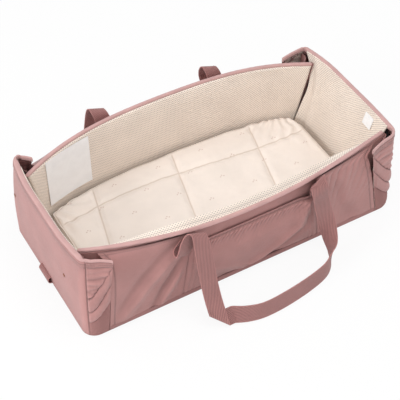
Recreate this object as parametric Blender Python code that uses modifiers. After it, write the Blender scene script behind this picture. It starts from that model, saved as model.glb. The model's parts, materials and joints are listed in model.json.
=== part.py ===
"""A soft carrycot: a flat base, two stiff ends with pleated corner wings, two soft long walls that bow
outwards, a quilted mattress, a gathered pocket on each long side and two webbing carrying handles.

Metres, +Z up. The origin is at the middle of the underside, +X points to the foot end and -Y to the
front side. Every part is a child of one empty and lies where it is at rest.
"""

import math
from collections import namedtuple

import bmesh
import bpy
from mathutils import Vector

# Overall sizes
BASE_LENGTH = 0.766
BASE_WIDTH = 0.372
CORNER_RADIUS = 0.030
END_HEIGHT = 0.2160

# Cloth, foam and board thicknesses
FABRIC = 0.0015
SHELL_CLOTH = 0.0012
FOAM = 0.0050
MESH_CLOTH = 0.0050
END_BOARD = 0.0040
BASE_BOARD = 0.0040
LABEL_CLOTH = 0.0006
SEAM_GAP = 0.0003

# Long walls. The front rim is pulled over outwards by its handle, the back rim only leans a little.
# The rim length is measured up a wall's section at mid-length, and the dip is how much shorter it is
# at the wall's ends.
WALL_END_INSET = 0.058
WALL_SIDE_INSET = 0.0045
WALL_HALF_LENGTH = BASE_LENGTH / 2 - WALL_END_INSET
HEAD_RIM_INSET = 0.021
FOOT_RIM_INSET = 0.031
WALL_MIDDLE = BASE_WIDTH / 2 - WALL_SIDE_INSET
BOW_POWER = 3.2
FRONT_HEAD_BOW = 0.034
FRONT_FOOT_BOW = 0.018
BACK_BOW = 0.041
FRONT_LEAN = math.radians(74)
BACK_LEAN = math.radians(12)
FRONT_ARC = 0.0145
BACK_ARC = 0.034
LEAN_REACH = 0.330
LEAN_POWER = 1.3
FRONT_RIM_LENGTH = 0.2005
BACK_RIM_LENGTH = 0.2150
FRONT_RIM_DIP = -0.0050
BACK_RIM_DIP = 0.012
BINDING_HEIGHT = 0.0055
BINDING_GAP = 0.0007
MESH_LIP = 0.0035

# Mattress
MATTRESS_END_INSET = 0.060
MATTRESS_HALF_LENGTH = BASE_LENGTH / 2 - MATTRESS_END_INSET
HEAD_MATTRESS_CORNER = 0.055
FOOT_MATTRESS_CORNER = 0.095
MATTRESS_EDGE = 0.052
MATTRESS_CROWN = 0.009
MATTRESS_SIDE_SWELL = 0.0015
MATTRESS_CLEARANCE = 0.0035
QUILT_CHANNEL = 0.0045
QUILT_CHANNEL_WIDTH = 0.012
QUILT_ROW = 0.085
QUILT_COLUMN = 0.197
QUILT_MARGIN = 0.014

# Stiff ends
END_BELLY = 0.006
END_BOARD_INSET = 0.006
END_BOARD_HALF_WIDTH = BASE_WIDTH / 2 - CORNER_RADIUS - END_BOARD_INSET
END_BOARD_SETBACK = 0.0008
END_LINING_TUCK = 0.0080
END_LINING_RISE = 0.0009
END_LINING_GAP = 0.0006
HEAD_LINING_INSET = 0.019
FOOT_LINING_INSET = 0.002
LINING_SPREAD_SHARE = 0.55
HEAD_FRONT_WING = 0.035
HEAD_BACK_WING = 0.018
HEAD_WING_FOOT = 0.018
FOOT_FRONT_WING = 0.056
FOOT_BACK_WING = 0.056
FOOT_WING_FOOT = 0.012
HEAD_CORNER_DRAW = 0.016
FOOT_FRONT_DRAW = 0.005
FOOT_BACK_DRAW = 0.020
HEAD_FRONT_FLARE = 0.010
FOOT_FRONT_FLARE = 0.014
HEAD_BACK_TUCK = 0.040
FOOT_BACK_TUCK = 0.030
WING_PUFF = 0.0045
CORNER_SEAM_GAP = 0.0009
GUSSET_FOLD = 0.026
GUSSET_TOP_FOLD = 0.006
GUSSET_LAYER = 0.0036
GUSSET_SETBACK = 0.0022

# Outer side panels and pockets
PANEL_INSET = 0.0010
PANEL_PLANE = BASE_WIDTH / 2 - PANEL_INSET
FRONT_PANEL_DROP = 0.0190
BACK_PANEL_DROP = 0.012
PANEL_STANDOFF = 0.0016
PANEL_GATHER_POWER = 2.5
PANEL_END_GAP = 0.0015
PANEL_FOLD = 0.0016
BASE_HEM = 0.0120
POCKET_HALF_LENGTH = 0.1710
POCKET_TAPER = 0.0185
POCKET_TOP = 0.148
POCKET_PUFF = 0.014
POCKET_RUFFLE = 0.0012
POCKET_RUFFLES = 8
ELASTIC = 0.0025
ELASTIC_HEIGHT = 0.006

# Handles
WEBBING = 0.0020
WEBBING_WIDTH = 0.038
HANDLE_SPACING = 0.285
HANDLE_REACH = 0.0778
HANDLE_FLOOR_GAP = 0.0010
HANDLE_KICK = math.radians(55)
HANDLE_FOLD_HEIGHT = 0.0268
HANDLE_FOLD_RADIUS = 0.0028
HANDLE_FOLD_RAMP = 0.028
HANDLE_LEG_START = 0.030
HANDLE_LEG_END = 0.060
HANDLE_HANG = math.radians(60)
HANDLE_SEWN_FROM = 0.158
FRONT_SEWN_TO = 0.1850
BACK_SEWN_TO = 0.1995
FRONT_HANDLE_SHIFT = 0.0095
BACK_HANDLE_SHIFT = -0.0135
FRONT_HINGE_STANDOFF = 0.0315
BACK_HINGE_STANDOFF = 0.0325
FRONT_HINGE_HEIGHT = 0.2035
BACK_HINGE_HEIGHT = 0.2205
FRONT_ROOT_TURN = math.radians(52)
FRONT_ROOT_RISE = 0.012
FRONT_ROOT_FALL = 0.016
BACK_ROOT_RISE = 0.030
BACK_ROOT_FALL = 0.022

# Small parts
LOOP_WIDTH = 0.048
LOOP_DEPTH = 0.0135
LOOP_LOW = 0.003
LOOP_HIGH = 0.023
LOOP_OFFSET = 0.010
STUD_RADIUS = 0.0040
STUD_HEAD = 0.0018
STUD_FRONT_INSET = 0.052
STUD_BACK_INSET = 0.006
STUD_HEIGHT = 0.126
LABEL_INSET = 0.007
LABEL_WIDTH = 0.118
LABEL_LOW = 0.074
LABEL_HIGH = 0.200
TAG_OFFSET = 0.092
TAG_WIDTH = 0.030
TAG_LOW = 0.178
TAG_HIGH = 0.203

# The front and the back side differ in how far the rim bows and leans and in where the handle sits.
Side = namedtuple(
    "Side",
    "name sign head_bow foot_bow lean arc rim_length rim_dip panel_drop"
    " handle_shift hinge_out hinge_up sewn_to root_turn root_rise root_fall",
)
FRONT = Side(
    name="front",
    sign=-1,
    head_bow=FRONT_HEAD_BOW,
    foot_bow=FRONT_FOOT_BOW,
    lean=FRONT_LEAN,
    arc=FRONT_ARC,
    rim_length=FRONT_RIM_LENGTH,
    rim_dip=FRONT_RIM_DIP,
    panel_drop=FRONT_PANEL_DROP,
    handle_shift=FRONT_HANDLE_SHIFT,
    hinge_out=WALL_MIDDLE + FRONT_HINGE_STANDOFF,
    hinge_up=FRONT_HINGE_HEIGHT,
    sewn_to=FRONT_SEWN_TO,
    root_turn=FRONT_ROOT_TURN,
    root_rise=FRONT_ROOT_RISE,
    root_fall=FRONT_ROOT_FALL,
)
BACK = Side(
    name="back",
    sign=1,
    head_bow=BACK_BOW,
    foot_bow=BACK_BOW,
    lean=BACK_LEAN,
    arc=BACK_ARC,
    rim_length=BACK_RIM_LENGTH,
    rim_dip=BACK_RIM_DIP,
    panel_drop=BACK_PANEL_DROP,
    handle_shift=BACK_HANDLE_SHIFT,
    hinge_out=WALL_MIDDLE + BACK_HINGE_STANDOFF,
    hinge_up=BACK_HINGE_HEIGHT,
    sewn_to=BACK_SEWN_TO,
    root_turn=0,
    root_rise=BACK_ROOT_RISE,
    root_fall=BACK_ROOT_FALL,
)

# A corner: how far its wing reaches along the long side at the rim and at the floor, and how far the
# outline draws in at the rim, at the corner seam and at the wing's free edge, which may also flare.
Corner = namedtuple("Corner", "wing_top wing_foot draw edge_draw")

# The head and the foot end differ in their corners, in how far the walls' rims stop short of them, in
# how wide their lining is at the rim, and in how closely the side panel beside the wing is gathered.
End = namedtuple("End", "name sign front back rim_inset lining_top gather")
HEAD = End(
    name="head",
    sign=-1,
    front=Corner(HEAD_FRONT_WING, HEAD_WING_FOOT, HEAD_CORNER_DRAW, -HEAD_FRONT_FLARE),
    back=Corner(HEAD_BACK_WING, HEAD_WING_FOOT, HEAD_CORNER_DRAW, HEAD_BACK_TUCK),
    rim_inset=HEAD_RIM_INSET,
    lining_top=END_BOARD_HALF_WIDTH - HEAD_LINING_INSET,
    gather=0.25,
)
FOOT = End(
    name="foot",
    sign=1,
    front=Corner(FOOT_FRONT_WING, FOOT_WING_FOOT, FOOT_FRONT_DRAW, -FOOT_FRONT_FLARE),
    back=Corner(FOOT_BACK_WING, FOOT_WING_FOOT, FOOT_BACK_DRAW, FOOT_BACK_TUCK),
    rim_inset=FOOT_RIM_INSET,
    lining_top=END_BOARD_HALF_WIDTH - FOOT_LINING_INSET,
    gather=0.45,
)

# The handle's way from its folded corner along the floor and up to its far hinge: along, out and up,
# as shares of the half spacing, the reach and the height above the floor, and beside each the
# direction of the webbing's width.
HANDLE_ROUTE_SHARES = (
    ((-0.579, 1.180, 0.000), (0.0, 0.45, -1.0)),
    ((-0.326, 1.295, 0.000), (0.0, 0.30, -1.0)),
    ((0.025, 1.280, 0.000), (0.0, 0.30, -1.0)),
    ((0.474, 1.167, 0.000), (0.0, 0.28, -1.0)),
    ((0.846, 0.994, 0.002), (0.0, 0.22, -1.0)),
    ((1.035, 0.770, 0.012), (0.05, 0.05, -1.0)),
    ((1.140, 0.520, 0.055), (0.25, -0.30, -0.85)),
    ((1.180, 0.310, 0.160), (0.45, -0.80, -0.35)),
    ((1.165, 0.170, 0.320), (0.25, -0.95, 0.0)),
    ((1.120, 0.080, 0.520), (-0.35, -0.90, 0.0)),
    ((1.060, 0.040, 0.730), (-0.85, -0.50, 0.0)),
    ((1.015, 0.060, 0.890), (-0.98, -0.15, 0.0)),
)
HANDLE_STEPS = 3

# Heights of the three tucks of a wing and of its two edges, as shares of the wing's height: at the
# corner seam and at the wing's free edge.
WING_TUCK_SHARES = ((0.0, 0.0), (0.20, 0.43), (0.345, 0.69), (0.53, 0.93), (1.0, 1.0))
WING_TUCK_CURVE = 1.8
WING_ROWS = 3

PINK = (0.445, 0.216, 0.202)
PALE_PINK = (0.578, 0.340, 0.323)
DEEP_PINK = (0.356, 0.159, 0.149)
CREAM = (0.723, 0.631, 0.539)
MATTRESS_CREAM = (0.831, 0.761, 0.672)
WHITE = (0.855, 0.855, 0.871)
FOAM_GREY = (0.60, 0.58, 0.55)
BOARD_BLACK = (0.055, 0.055, 0.060)
COPPER = (0.520, 0.235, 0.140)


def clear_scene():
    """Removes what the scene holds."""
    for obj in list(bpy.data.objects):
        bpy.data.objects.remove(obj, do_unlink=True)


def make_root():
    """The collection that holds the parts, and the empty that carries them."""
    parts = bpy.data.collections.new("carrycot")
    bpy.context.scene.collection.children.link(parts)
    root = bpy.data.objects.new("carrycot_root", None)
    parts.objects.link(root)
    return parts, root


def finish_of(name, colour, roughness, metallic=0.0):
    """A part's own material."""
    material = bpy.data.materials.new(name)
    material.use_nodes = True
    shader = material.node_tree.nodes["Principled BSDF"]
    shader.inputs["Base Color"].default_value = (*colour, 1.0)
    shader.inputs["Roughness"].default_value = roughness
    shader.inputs["Metallic"].default_value = metallic
    return material


def add_part(parent, name, data, colour, roughness=0.85, metallic=0.0):
    """Puts a mesh or curve in the scene as a part that hangs on the parent empty."""
    obj = bpy.data.objects.new(name, data)
    data.materials.append(finish_of(name, colour, roughness, metallic))
    parent.users_collection[0].objects.link(obj)
    obj.parent = parent
    return obj


def cloth(parent, name, columns, rows, place, thickness, colour, roughness=0.85):
    """A panel of one thickness whose middle surface is place(u, v), with u and v from 0 to 1."""
    bm = bmesh.new()
    bmesh.ops.create_grid(bm, x_segments=columns, y_segments=rows, size=0.5)
    for vertex in bm.verts:
        vertex.co = place(vertex.co.x + 0.5, vertex.co.y + 0.5)
    mesh = bpy.data.meshes.new(name)
    bm.to_mesh(mesh)
    bm.free()
    mesh.shade_smooth()
    obj = add_part(parent, name, mesh, colour, roughness)
    solidify = obj.modifiers.new("thickness", "SOLIDIFY")
    solidify.thickness = thickness
    solidify.offset = 0.0
    return obj


def plate(parent, name, outline, thickness, colour, roughness=0.8):
    """A flat sheet: a filled outline in its own XY plane, extruded by half its thickness each way."""
    curve = bpy.data.curves.new(name, "CURVE")
    curve.dimensions = "2D"
    curve.fill_mode = "BOTH"
    curve.extrude = thickness / 2
    spline = curve.splines.new("POLY")
    spline.points.add(len(outline) - 1)
    for point, (x, y) in zip(spline.points, outline):
        point.co = (x, y, 0, 1)
    spline.use_cyclic_u = True
    return add_part(parent, name, curve, colour, roughness)


def rounded_corner(centre_x, centre_y, radius, start, steps=8):
    """Points of a quarter circle that starts at the given angle and turns anticlockwise."""
    turn = math.pi / 2 / steps
    angles = [start + turn * i for i in range(steps + 1)]
    return [(centre_x + radius * math.cos(a), centre_y + radius * math.sin(a)) for a in angles]


def rounded_rectangle(half_x, half_y, radius):
    """The outline of a rectangle with round corners, anticlockwise."""
    x, y = half_x - radius, half_y - radius
    outline = rounded_corner(x, y, radius, 0)
    outline += rounded_corner(-x, y, radius, math.pi / 2)
    outline += rounded_corner(-x, -y, radius, math.pi)
    return outline + rounded_corner(x, -y, radius, 3 * math.pi / 2)


def bow(side, x):
    """Distance of a long wall's outer face from the middle plane."""
    depth = side.head_bow if x < 0 else side.foot_bow
    return WALL_MIDDLE - depth * abs(x / WALL_HALF_LENGTH) ** BOW_POWER


def bow_slope(side, x):
    """How fast a long wall's outer face draws in along its length."""
    depth = side.head_bow if x < 0 else side.foot_bow
    slope = depth / WALL_HALF_LENGTH * BOW_POWER * abs(x / WALL_HALF_LENGTH) ** (BOW_POWER - 1)
    return -math.copysign(slope, x)


def inside_wall(side, x, depth):
    """Distance from the middle plane of a place square in from a long wall's outer face."""
    return bow(side, x) - depth * math.hypot(1, bow_slope(side, x))


def rim_length(side, x):
    """Length of the wall's section from the floor to the foot of its binding."""
    return side.rim_length - side.rim_dip * (x / WALL_HALF_LENGTH) ** 2


def wall_section(side, x, up):
    """Out, height and lean of a wall's outer face at a length up its section: it stands upright,
    leans outwards in its top arc, most at mid-length, where the handle pulls the rim, and is straight
    beyond the arc."""
    reach = min(abs(x) / LEAN_REACH, 1.0)
    lean_most = side.lean * math.cos(reach * math.pi / 2) ** LEAN_POWER
    arc_start = rim_length(side, x) - side.arc
    past = up - arc_start
    if past <= 0 or lean_most < 1e-6:
        return bow(side, x), up, 0.0
    radius = side.arc / lean_most
    lean = min(past, side.arc) / radius
    beyond = max(past - side.arc, 0)
    out = bow(side, x) + radius * (1 - math.cos(lean)) + beyond * math.sin(lean)
    return out, arc_start + radius * math.sin(lean) + beyond * math.cos(lean), lean


def wall_point(side, x, up, depth):
    """A point of a long wall, depth inside its outer face."""
    out, height, lean = wall_section(side, x, up)
    slope = bow_slope(side, x)
    level = depth * math.cos(lean) / math.hypot(1, slope)
    return Vector((x + level * slope, side.sign * (out - level), height + depth * math.sin(lean)))


def wall_station(u, even_share=0.6):
    """Spreads the columns of a wall so that they lie closer where it bends most, at its ends."""
    share = 2 * u - 1
    bent = math.sin(math.pi / 2 * share)
    return WALL_HALF_LENGTH * (even_share * share + (1 - even_share) * bent)


def wall_rise(side, x, lip, v, upright_share=0.375):
    """Length up a wall's section: most rows lie in its leaning top, which ends a lip past the rim."""
    foot = FABRIC + SEAM_GAP
    bend = rim_length(side, x) - side.arc
    if v < upright_share:
        return foot + (bend - foot) * v / upright_share
    return bend + (side.arc + lip) * (v - upright_share) / (1 - upright_share)


def wall_spread(side, x, up):
    """Place along a long wall at a length up its section: the wall grows longer towards its rim."""
    end = HEAD if x < 0 else FOOT
    grown = (BASE_LENGTH / 2 - end.rim_inset) / WALL_HALF_LENGTH - 1
    return x * (1 + grown * min(up / side.rim_length, 1))


def wall_layer(parent, side, name, outer_depth, thickness, lip, colour):
    """One layer of a long wall: the shell cloth, the foam or the mesh lining."""
    depth = outer_depth + thickness / 2

    def place(u, v):
        x = wall_station(u)
        x = wall_spread(side, x, wall_rise(side, x, lip, v))
        return wall_point(side, x, wall_rise(side, x, lip, v), depth)

    cloth(parent, f"{side.name}_{name}", 20, 8, place, thickness, colour)


def foam_depth():
    return SHELL_CLOTH + SEAM_GAP


def lining_depth():
    return foam_depth() + FOAM + SEAM_GAP


def wall_depth():
    return lining_depth() + MESH_CLOTH


def make_wall(parent, side):
    """The sandwich of a long wall and the binding over its rim."""
    wall_layer(parent, side, "wall_shell", 0, SHELL_CLOTH, 0, PINK)
    wall_layer(parent, side, "wall_foam", foam_depth(), FOAM, 0, FOAM_GREY)
    wall_layer(parent, side, "wall_lining", lining_depth(), MESH_CLOTH, MESH_LIP, CREAM)
    bar = foam_depth() + FOAM - SEAM_GAP

    def place(u, v):
        x = wall_station(u)
        x = wall_spread(side, x, rim_length(side, x))
        up = rim_length(side, x) + BINDING_GAP + BINDING_HEIGHT * v
        return wall_point(side, x, up, bar / 2)

    cloth(parent, f"{side.name}_rim_binding", 20, 2, place, bar, PALE_PINK)


def mattress_half_width(side, x, clearance):
    """Half width of the mattress on one side: it follows the lining and has round corners."""
    radius = HEAD_MATTRESS_CORNER if x < 0 else FOOT_MATTRESS_CORNER
    along = max(abs(x) - (MATTRESS_HALF_LENGTH - radius), 0)
    straight = WALL_MIDDLE - wall_depth() - clearance
    corner = straight - radius + math.sqrt(max(radius**2 - along**2, 0))
    return min(corner, inside_wall(side, x, wall_depth() + clearance))


def mattress_outline(clearance, steps=12):
    """The plan of what lies between the walls, anticlockwise."""
    half = MATTRESS_HALF_LENGTH
    stations = [half * math.sin(math.pi / 2 * (2 * i / steps - 1)) for i in range(steps + 1)]
    front = [(x, -mattress_half_width(FRONT, x, clearance)) for x in stations]
    back = [(x, mattress_half_width(BACK, x, clearance)) for x in reversed(stations)]
    return front + back


def quilt_depth(x, y):
    """How far the sewn channels draw the mattress cover in."""
    columns = min(abs(x - step * QUILT_COLUMN) for step in (-1, 0, 1))
    rows = abs(abs(y) - QUILT_ROW)
    narrow = QUILT_CHANNEL_WIDTH / 2
    return QUILT_CHANNEL * max(math.exp(-((columns / narrow) ** 2)), math.exp(-((rows / narrow) ** 2)))


def stations_with_channels(half, channels, fill, corners=(0, 0)):
    """Places across a width: on each channel, on both its banks, round each corner, and some between."""
    turns = [math.pi / 2 * i / 4 for i in range(5)]
    places = {corners[0] * (1 - math.sin(a)) - half for a in turns}
    places |= {half - corners[1] * (1 - math.sin(a)) for a in turns}
    for channel in channels:
        places |= {channel - QUILT_CHANNEL_WIDTH, channel, channel + QUILT_CHANNEL_WIDTH}
    places = sorted(places)
    full = []
    for low, high in zip(places, places[1:]):
        steps = max(1, round((high - low) / fill))
        full += [low + (high - low) * i / steps for i in range(steps)]
    return full + [half]


def make_mattress(parent):
    """The quilted mattress: a crowned top with sewn channels, drawn-in sides and a flat underside."""
    floor = FABRIC + SEAM_GAP + BASE_BOARD + SEAM_GAP
    half = MATTRESS_HALF_LENGTH
    fill = 2 * half / 12
    channels = [step * QUILT_COLUMN for step in (-1, 0, 1)]
    corners = (HEAD_MATTRESS_CORNER, FOOT_MATTRESS_CORNER)
    columns = stations_with_channels(half, channels, fill, corners)
    middle = WALL_MIDDLE - wall_depth() - MATTRESS_CLEARANCE
    rows = stations_with_channels(middle, [-QUILT_ROW, QUILT_ROW], fill)

    bm = bmesh.new()
    bmesh.ops.create_grid(bm, x_segments=len(columns) - 1, y_segments=len(rows) - 1, size=0.5)
    for vertex in bm.verts:
        x = columns[round((vertex.co.x + 0.5) * (len(columns) - 1))]
        across = rows[round((vertex.co.y + 0.5) * (len(rows) - 1))]
        side = BACK if across > 0 else FRONT
        y = across / middle * mattress_half_width(side, x, MATTRESS_CLEARANCE)
        from_end = 1 - (x / half) ** 2
        from_side = 1 - (across / middle) ** 2
        crown = MATTRESS_CROWN * (max(from_end, 0) * max(from_side, 0)) ** 0.35
        z = floor + MATTRESS_EDGE + crown - quilt_depth(x, across) * min(1.0, 4 * from_side, 8 * from_end)
        vertex.co = (x, y, z)
    bmesh.ops.reverse_faces(bm, faces=[f for f in bm.faces if f.normal.z < 0])
    edge = [e for e in bm.edges if e.is_boundary]
    for height_share, swell in ((0.5, MATTRESS_SIDE_SWELL), (0, -MATTRESS_SIDE_SWELL)):
        grown = bmesh.ops.extrude_edge_only(bm, edges=edge)["geom"]
        edge = [g for g in grown if isinstance(g, bmesh.types.BMEdge)]
        for vertex in {v for e in edge for v in e.verts}:
            vertex.co.z = floor + MATTRESS_EDGE * height_share
            vertex.co.x += swell * math.copysign(1, vertex.co.x)
            vertex.co.y += swell * math.copysign(1, vertex.co.y)
    bmesh.ops.holes_fill(bm, edges=edge)
    bmesh.ops.recalc_face_normals(bm, faces=bm.faces)
    mesh = bpy.data.meshes.new("mattress")
    bm.to_mesh(mesh)
    bm.free()
    mesh.shade_smooth()
    add_part(parent, "mattress", mesh, MATTRESS_CREAM, 0.9)


def make_base(parent):
    """The base cloth that the carrycot stands on, and the stiff board under the mattress."""
    outline = rounded_rectangle(BASE_LENGTH / 2, BASE_WIDTH / 2, CORNER_RADIUS)
    plate(parent, "base_fabric", outline, FABRIC, DEEP_PINK).location.z = FABRIC / 2
    board = plate(parent, "base_board", mattress_outline(MATTRESS_CLEARANCE), BASE_BOARD, BOARD_BLACK)
    board.location.z = FABRIC + SEAM_GAP + BASE_BOARD / 2


def end_plan(along):
    """Place and outward direction on the base's outline, along it from the middle of a short end."""
    half_x, half_y = BASE_LENGTH / 2, BASE_WIDTH / 2
    flat = half_y - CORNER_RADIUS
    arc = CORNER_RADIUS * math.pi / 2
    distance = abs(along)
    turn = math.pi / 2 * min(max(distance - flat, 0) / arc, 1)
    back_along = max(distance - flat - arc, 0)
    x = half_x - CORNER_RADIUS * (1 - math.cos(turn)) - back_along
    y = min(distance, flat) + CORNER_RADIUS * math.sin(turn)
    across = math.copysign(1, along)
    return Vector((x, across * y)), Vector((math.cos(turn), across * math.sin(turn)))


def corner_seam():
    """Distance along the outline from the middle of an end to the wing's vertical seam."""
    return BASE_WIDTH / 2 - CORNER_RADIUS + CORNER_RADIUS * math.pi / 4


def corner_of(end, across):
    """The corner of an end on the front or the back side, told by the sign of a place across it."""
    return end.back if across > 0 else end.front


def wing_length(corner, height):
    """How far a wing reaches beyond the round corner at a height above the floor."""
    return corner.wing_foot + (corner.wing_top - corner.wing_foot) * height / END_HEIGHT


def wing_edge(corner, height):
    """Distance along the outline from the middle of an end to the wing's free edge."""
    round_end = BASE_WIDTH / 2 - CORNER_RADIUS + CORNER_RADIUS * math.pi / 2
    return round_end + wing_length(corner, height)


def end_belly(along, v):
    """How far the end's outer cloth swells out."""
    share = min(abs(along) / corner_seam(), 1)
    return END_BELLY * (1 - share**4) * math.sin(math.pi * v) ** 1.5


def drawn_in(end, along, height, flat_share=0.3):
    """How far the outline of an end and its wings draws in at a height, most at the rim. The middle of
    the end stays put, and a wing may also stand out, below zero."""
    corner = corner_of(end, along)
    seam = corner_seam()
    if abs(along) < seam:
        most = corner.draw * (max(abs(along) / seam - flat_share, 0) / (1 - flat_share)) ** 2
    else:
        share = (abs(along) - seam) / (wing_edge(corner, height) - seam)
        most = corner.draw + (corner.edge_draw - corner.draw) * share**2
    return most * (height / END_HEIGHT) ** 2


def end_face(end, along, v, depth):
    """A point of an end's outer cloth, depth in from its outer face."""
    foot = FABRIC + SEAM_GAP
    height = foot + (END_HEIGHT - foot) * v
    spot, out = end_plan(along)
    spot += out * (end_belly(along, v) - depth - drawn_in(end, along, height))
    return Vector((end.sign * spot.x, spot.y, height))


def make_end_panel(parent, end):
    """The outer cloth of a stiff end, from one corner seam to the other."""
    reach = corner_seam() - CORNER_SEAM_GAP / 2

    def place(u, v):
        return end_face(end, reach * (2 * u - 1), v, FABRIC / 2)

    cloth(parent, f"{end.name}_end_panel", 16, 8, place, FABRIC, PINK)


def wing_height_share(across, v):
    """Height on a wing: each band of rows lies between two of its curved tucks."""
    bands = len(WING_TUCK_SHARES) - 1
    band = min(int(v * bands + 1e-6), bands - 1)
    curve = across**WING_TUCK_CURVE
    low, high = (a + (b - a) * curve for a, b in WING_TUCK_SHARES[band : band + 2])
    inside = v * bands - band
    return low + (high - low) * inside, math.sin(math.pi * min(max(inside, 0), 1))


def make_wing(parent, end, side):
    """A wing that wraps a corner onto the long side, with three curved tucks and padding between."""
    foot = FABRIC + SEAM_GAP
    start = corner_seam() + CORNER_SEAM_GAP / 2
    corner = corner_of(end, side.sign)

    def place(u, v):
        share, puff = wing_height_share(u, v)
        height = foot + (END_HEIGHT - foot) * share
        along = side.sign * (start + (wing_edge(corner, height) - start) * u)
        spot, out = end_plan(along)
        edges = min(1.0, 6 * u, 6 * (1 - u)) if 0 < u < 1 else 0.0
        spot += out * (WING_PUFF * puff * edges - FABRIC / 2 - drawn_in(end, along, height))
        return Vector((end.sign * spot.x, spot.y, height))

    rows = WING_ROWS * (len(WING_TUCK_SHARES) - 1)
    cloth(parent, f"{end.name}_{side.name}_wing", 7, rows, place, FABRIC, PINK)


def make_end_binding(parent, end):
    """The bound edge along the top of an end and of its two wings."""
    front_edge = wing_edge(end.front, END_HEIGHT)
    back_edge = wing_edge(end.back, END_HEIGHT)
    thickness = END_BOARD + FABRIC

    def place(u, v):
        along = (front_edge + back_edge) * u - front_edge
        spot, out = end_plan(along)
        spot += out * (SEAM_GAP - thickness / 2 - drawn_in(end, along, END_HEIGHT))
        return Vector((end.sign * spot.x, spot.y, END_HEIGHT + SEAM_GAP + BINDING_HEIGHT * v))

    cloth(parent, f"{end.name}_end_binding", 36, 1, place, thickness, PALE_PINK)


def end_board_plane():
    """Distance of an end board's middle from the origin."""
    return BASE_LENGTH / 2 - FABRIC - END_BOARD_SETBACK - END_BOARD / 2


def make_end_board(parent, end):
    """The stiff board that keeps an end upright: it has round top corners and follows the cloth."""
    foot = FABRIC + SEAM_GAP

    def place(u, v):
        y = END_BOARD_HALF_WIDTH * (2 * u - 1)
        past = max(abs(y) + CORNER_RADIUS - END_BOARD_HALF_WIDTH, 0)
        top = END_HEIGHT - CORNER_RADIUS + math.sqrt(max(CORNER_RADIUS**2 - past**2, 0))
        height = foot + (top - foot) * v
        return Vector((end.sign * (end_board_plane() - drawn_in(end, y, height)), y, height))

    cloth(parent, f"{end.name}_end_board", 20, 6, place, END_BOARD, BOARD_BLACK, 0.8)


def end_lining_half(end, side, height):
    """Half width of an end's lining at a height: it stays within the long walls, and near the rim it
    spreads behind their ends."""
    x = wall_spread(side, end.sign * WALL_HALF_LENGTH, height)
    half = inside_wall(side, x, wall_depth() + END_LINING_TUCK)
    spread = max(min(height / END_HEIGHT, 1) - LINING_SPREAD_SHARE, 0) / (1 - LINING_SPREAD_SHARE)
    return half + max(end.lining_top - half, 0) * spread**2


def end_lining_point(end, across, v, depth):
    """A point of an end's mesh lining, depth in from its outer face. Its foot follows the mattress,
    and its top lies against the end board. across runs from -1 at the front to 1 at the back."""
    side = BACK if across > 0 else FRONT
    foot = FABRIC + END_LINING_RISE
    height = foot + (END_HEIGHT + MESH_LIP - foot) * v
    y_foot = abs(across) * end_lining_half(end, side, 0)
    straight = WALL_MIDDLE - wall_depth() - MATTRESS_CLEARANCE
    radius = HEAD_MATTRESS_CORNER if end is HEAD else FOOT_MATTRESS_CORNER
    past = max(y_foot - (straight - radius), 0)
    x_foot = MATTRESS_HALF_LENGTH - radius + math.sqrt(radius**2 - past**2)
    x_foot += MATTRESS_CLEARANCE + MESH_CLOTH
    x_top = end_board_plane() - END_BOARD / 2 - END_LINING_GAP
    y = across * end_lining_half(end, side, height)
    x = x_foot + (x_top - x_foot) * v - depth - drawn_in(end, y, height)
    return Vector((end.sign * x, y, height))


def make_end_lining(parent, end):
    """The mesh lining of an end, which slopes from the mattress to the rim."""

    def place(u, v):
        return end_lining_point(end, 2 * u - 1, v, MESH_CLOTH / 2)

    cloth(parent, f"{end.name}_end_lining", 14, 5, place, MESH_CLOTH, CREAM)


def gusset_plan(end, side, height):
    """The plan of a corner gusset from the end of the long wall to the corner seam: it folds back
    behind the wall, less so at the rim, and returns along the inside of the wing."""
    wall_end = abs(wall_spread(side, end.sign * WALL_HALF_LENGTH, height))
    x = wall_end + GUSSET_SETBACK
    wall_out = bow(side, end.sign * wall_end)
    fold = wall_end - GUSSET_FOLD + (GUSSET_FOLD - GUSSET_TOP_FOLD) * height / END_HEIGHT
    fold_out = bow(side, end.sign * fold) + GUSSET_LAYER + SHELL_CLOTH
    along = BASE_WIDTH / 2 - CORNER_RADIUS + CORNER_RADIUS * math.radians(65)
    spot, out = end_plan(along)
    inset = FABRIC + 2 * SEAM_GAP + SHELL_CLOTH / 2
    spot -= out * (inset + drawn_in(end, side.sign * along, height))
    return [
        (x, wall_out - foam_depth()),
        (x, wall_out + SHELL_CLOTH),
        ((x + fold) / 2, (wall_out + fold_out) / 2 + GUSSET_LAYER / 2),
        (fold, fold_out),
        (fold - GUSSET_LAYER / 2, fold_out + GUSSET_LAYER / 2),
        (fold, fold_out + GUSSET_LAYER),
        (x, (fold_out + GUSSET_LAYER + spot.y) / 2),
        (spot.x, spot.y),
    ]


def make_gusset(parent, end, side):
    """The folded cloth that closes a corner between the soft wall and the stiff end."""
    foot = FABRIC + SEAM_GAP
    top = rim_length(side, WALL_HALF_LENGTH)

    def place(u, v):
        height = foot + (top - foot) * v
        plan = gusset_plan(end, side, height)
        x, out = plan[round(u * (len(plan) - 1))]
        return Vector((end.sign * x, side.sign * out, height))

    cloth(parent, f"{end.name}_{side.name}_gusset", 7, 3, place, SHELL_CLOTH, PINK)


def panel_outer_end(corner, height):
    """Distance from the middle to the free hem of an outer side panel, beside the wing's edge."""
    return BASE_LENGTH / 2 - CORNER_RADIUS - wing_length(corner, height) - PANEL_END_GAP


def pocket_half(v):
    """Half length of a pocket, which the elastic narrows towards its mouth."""
    return POCKET_HALF_LENGTH - POCKET_TAPER * v


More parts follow.
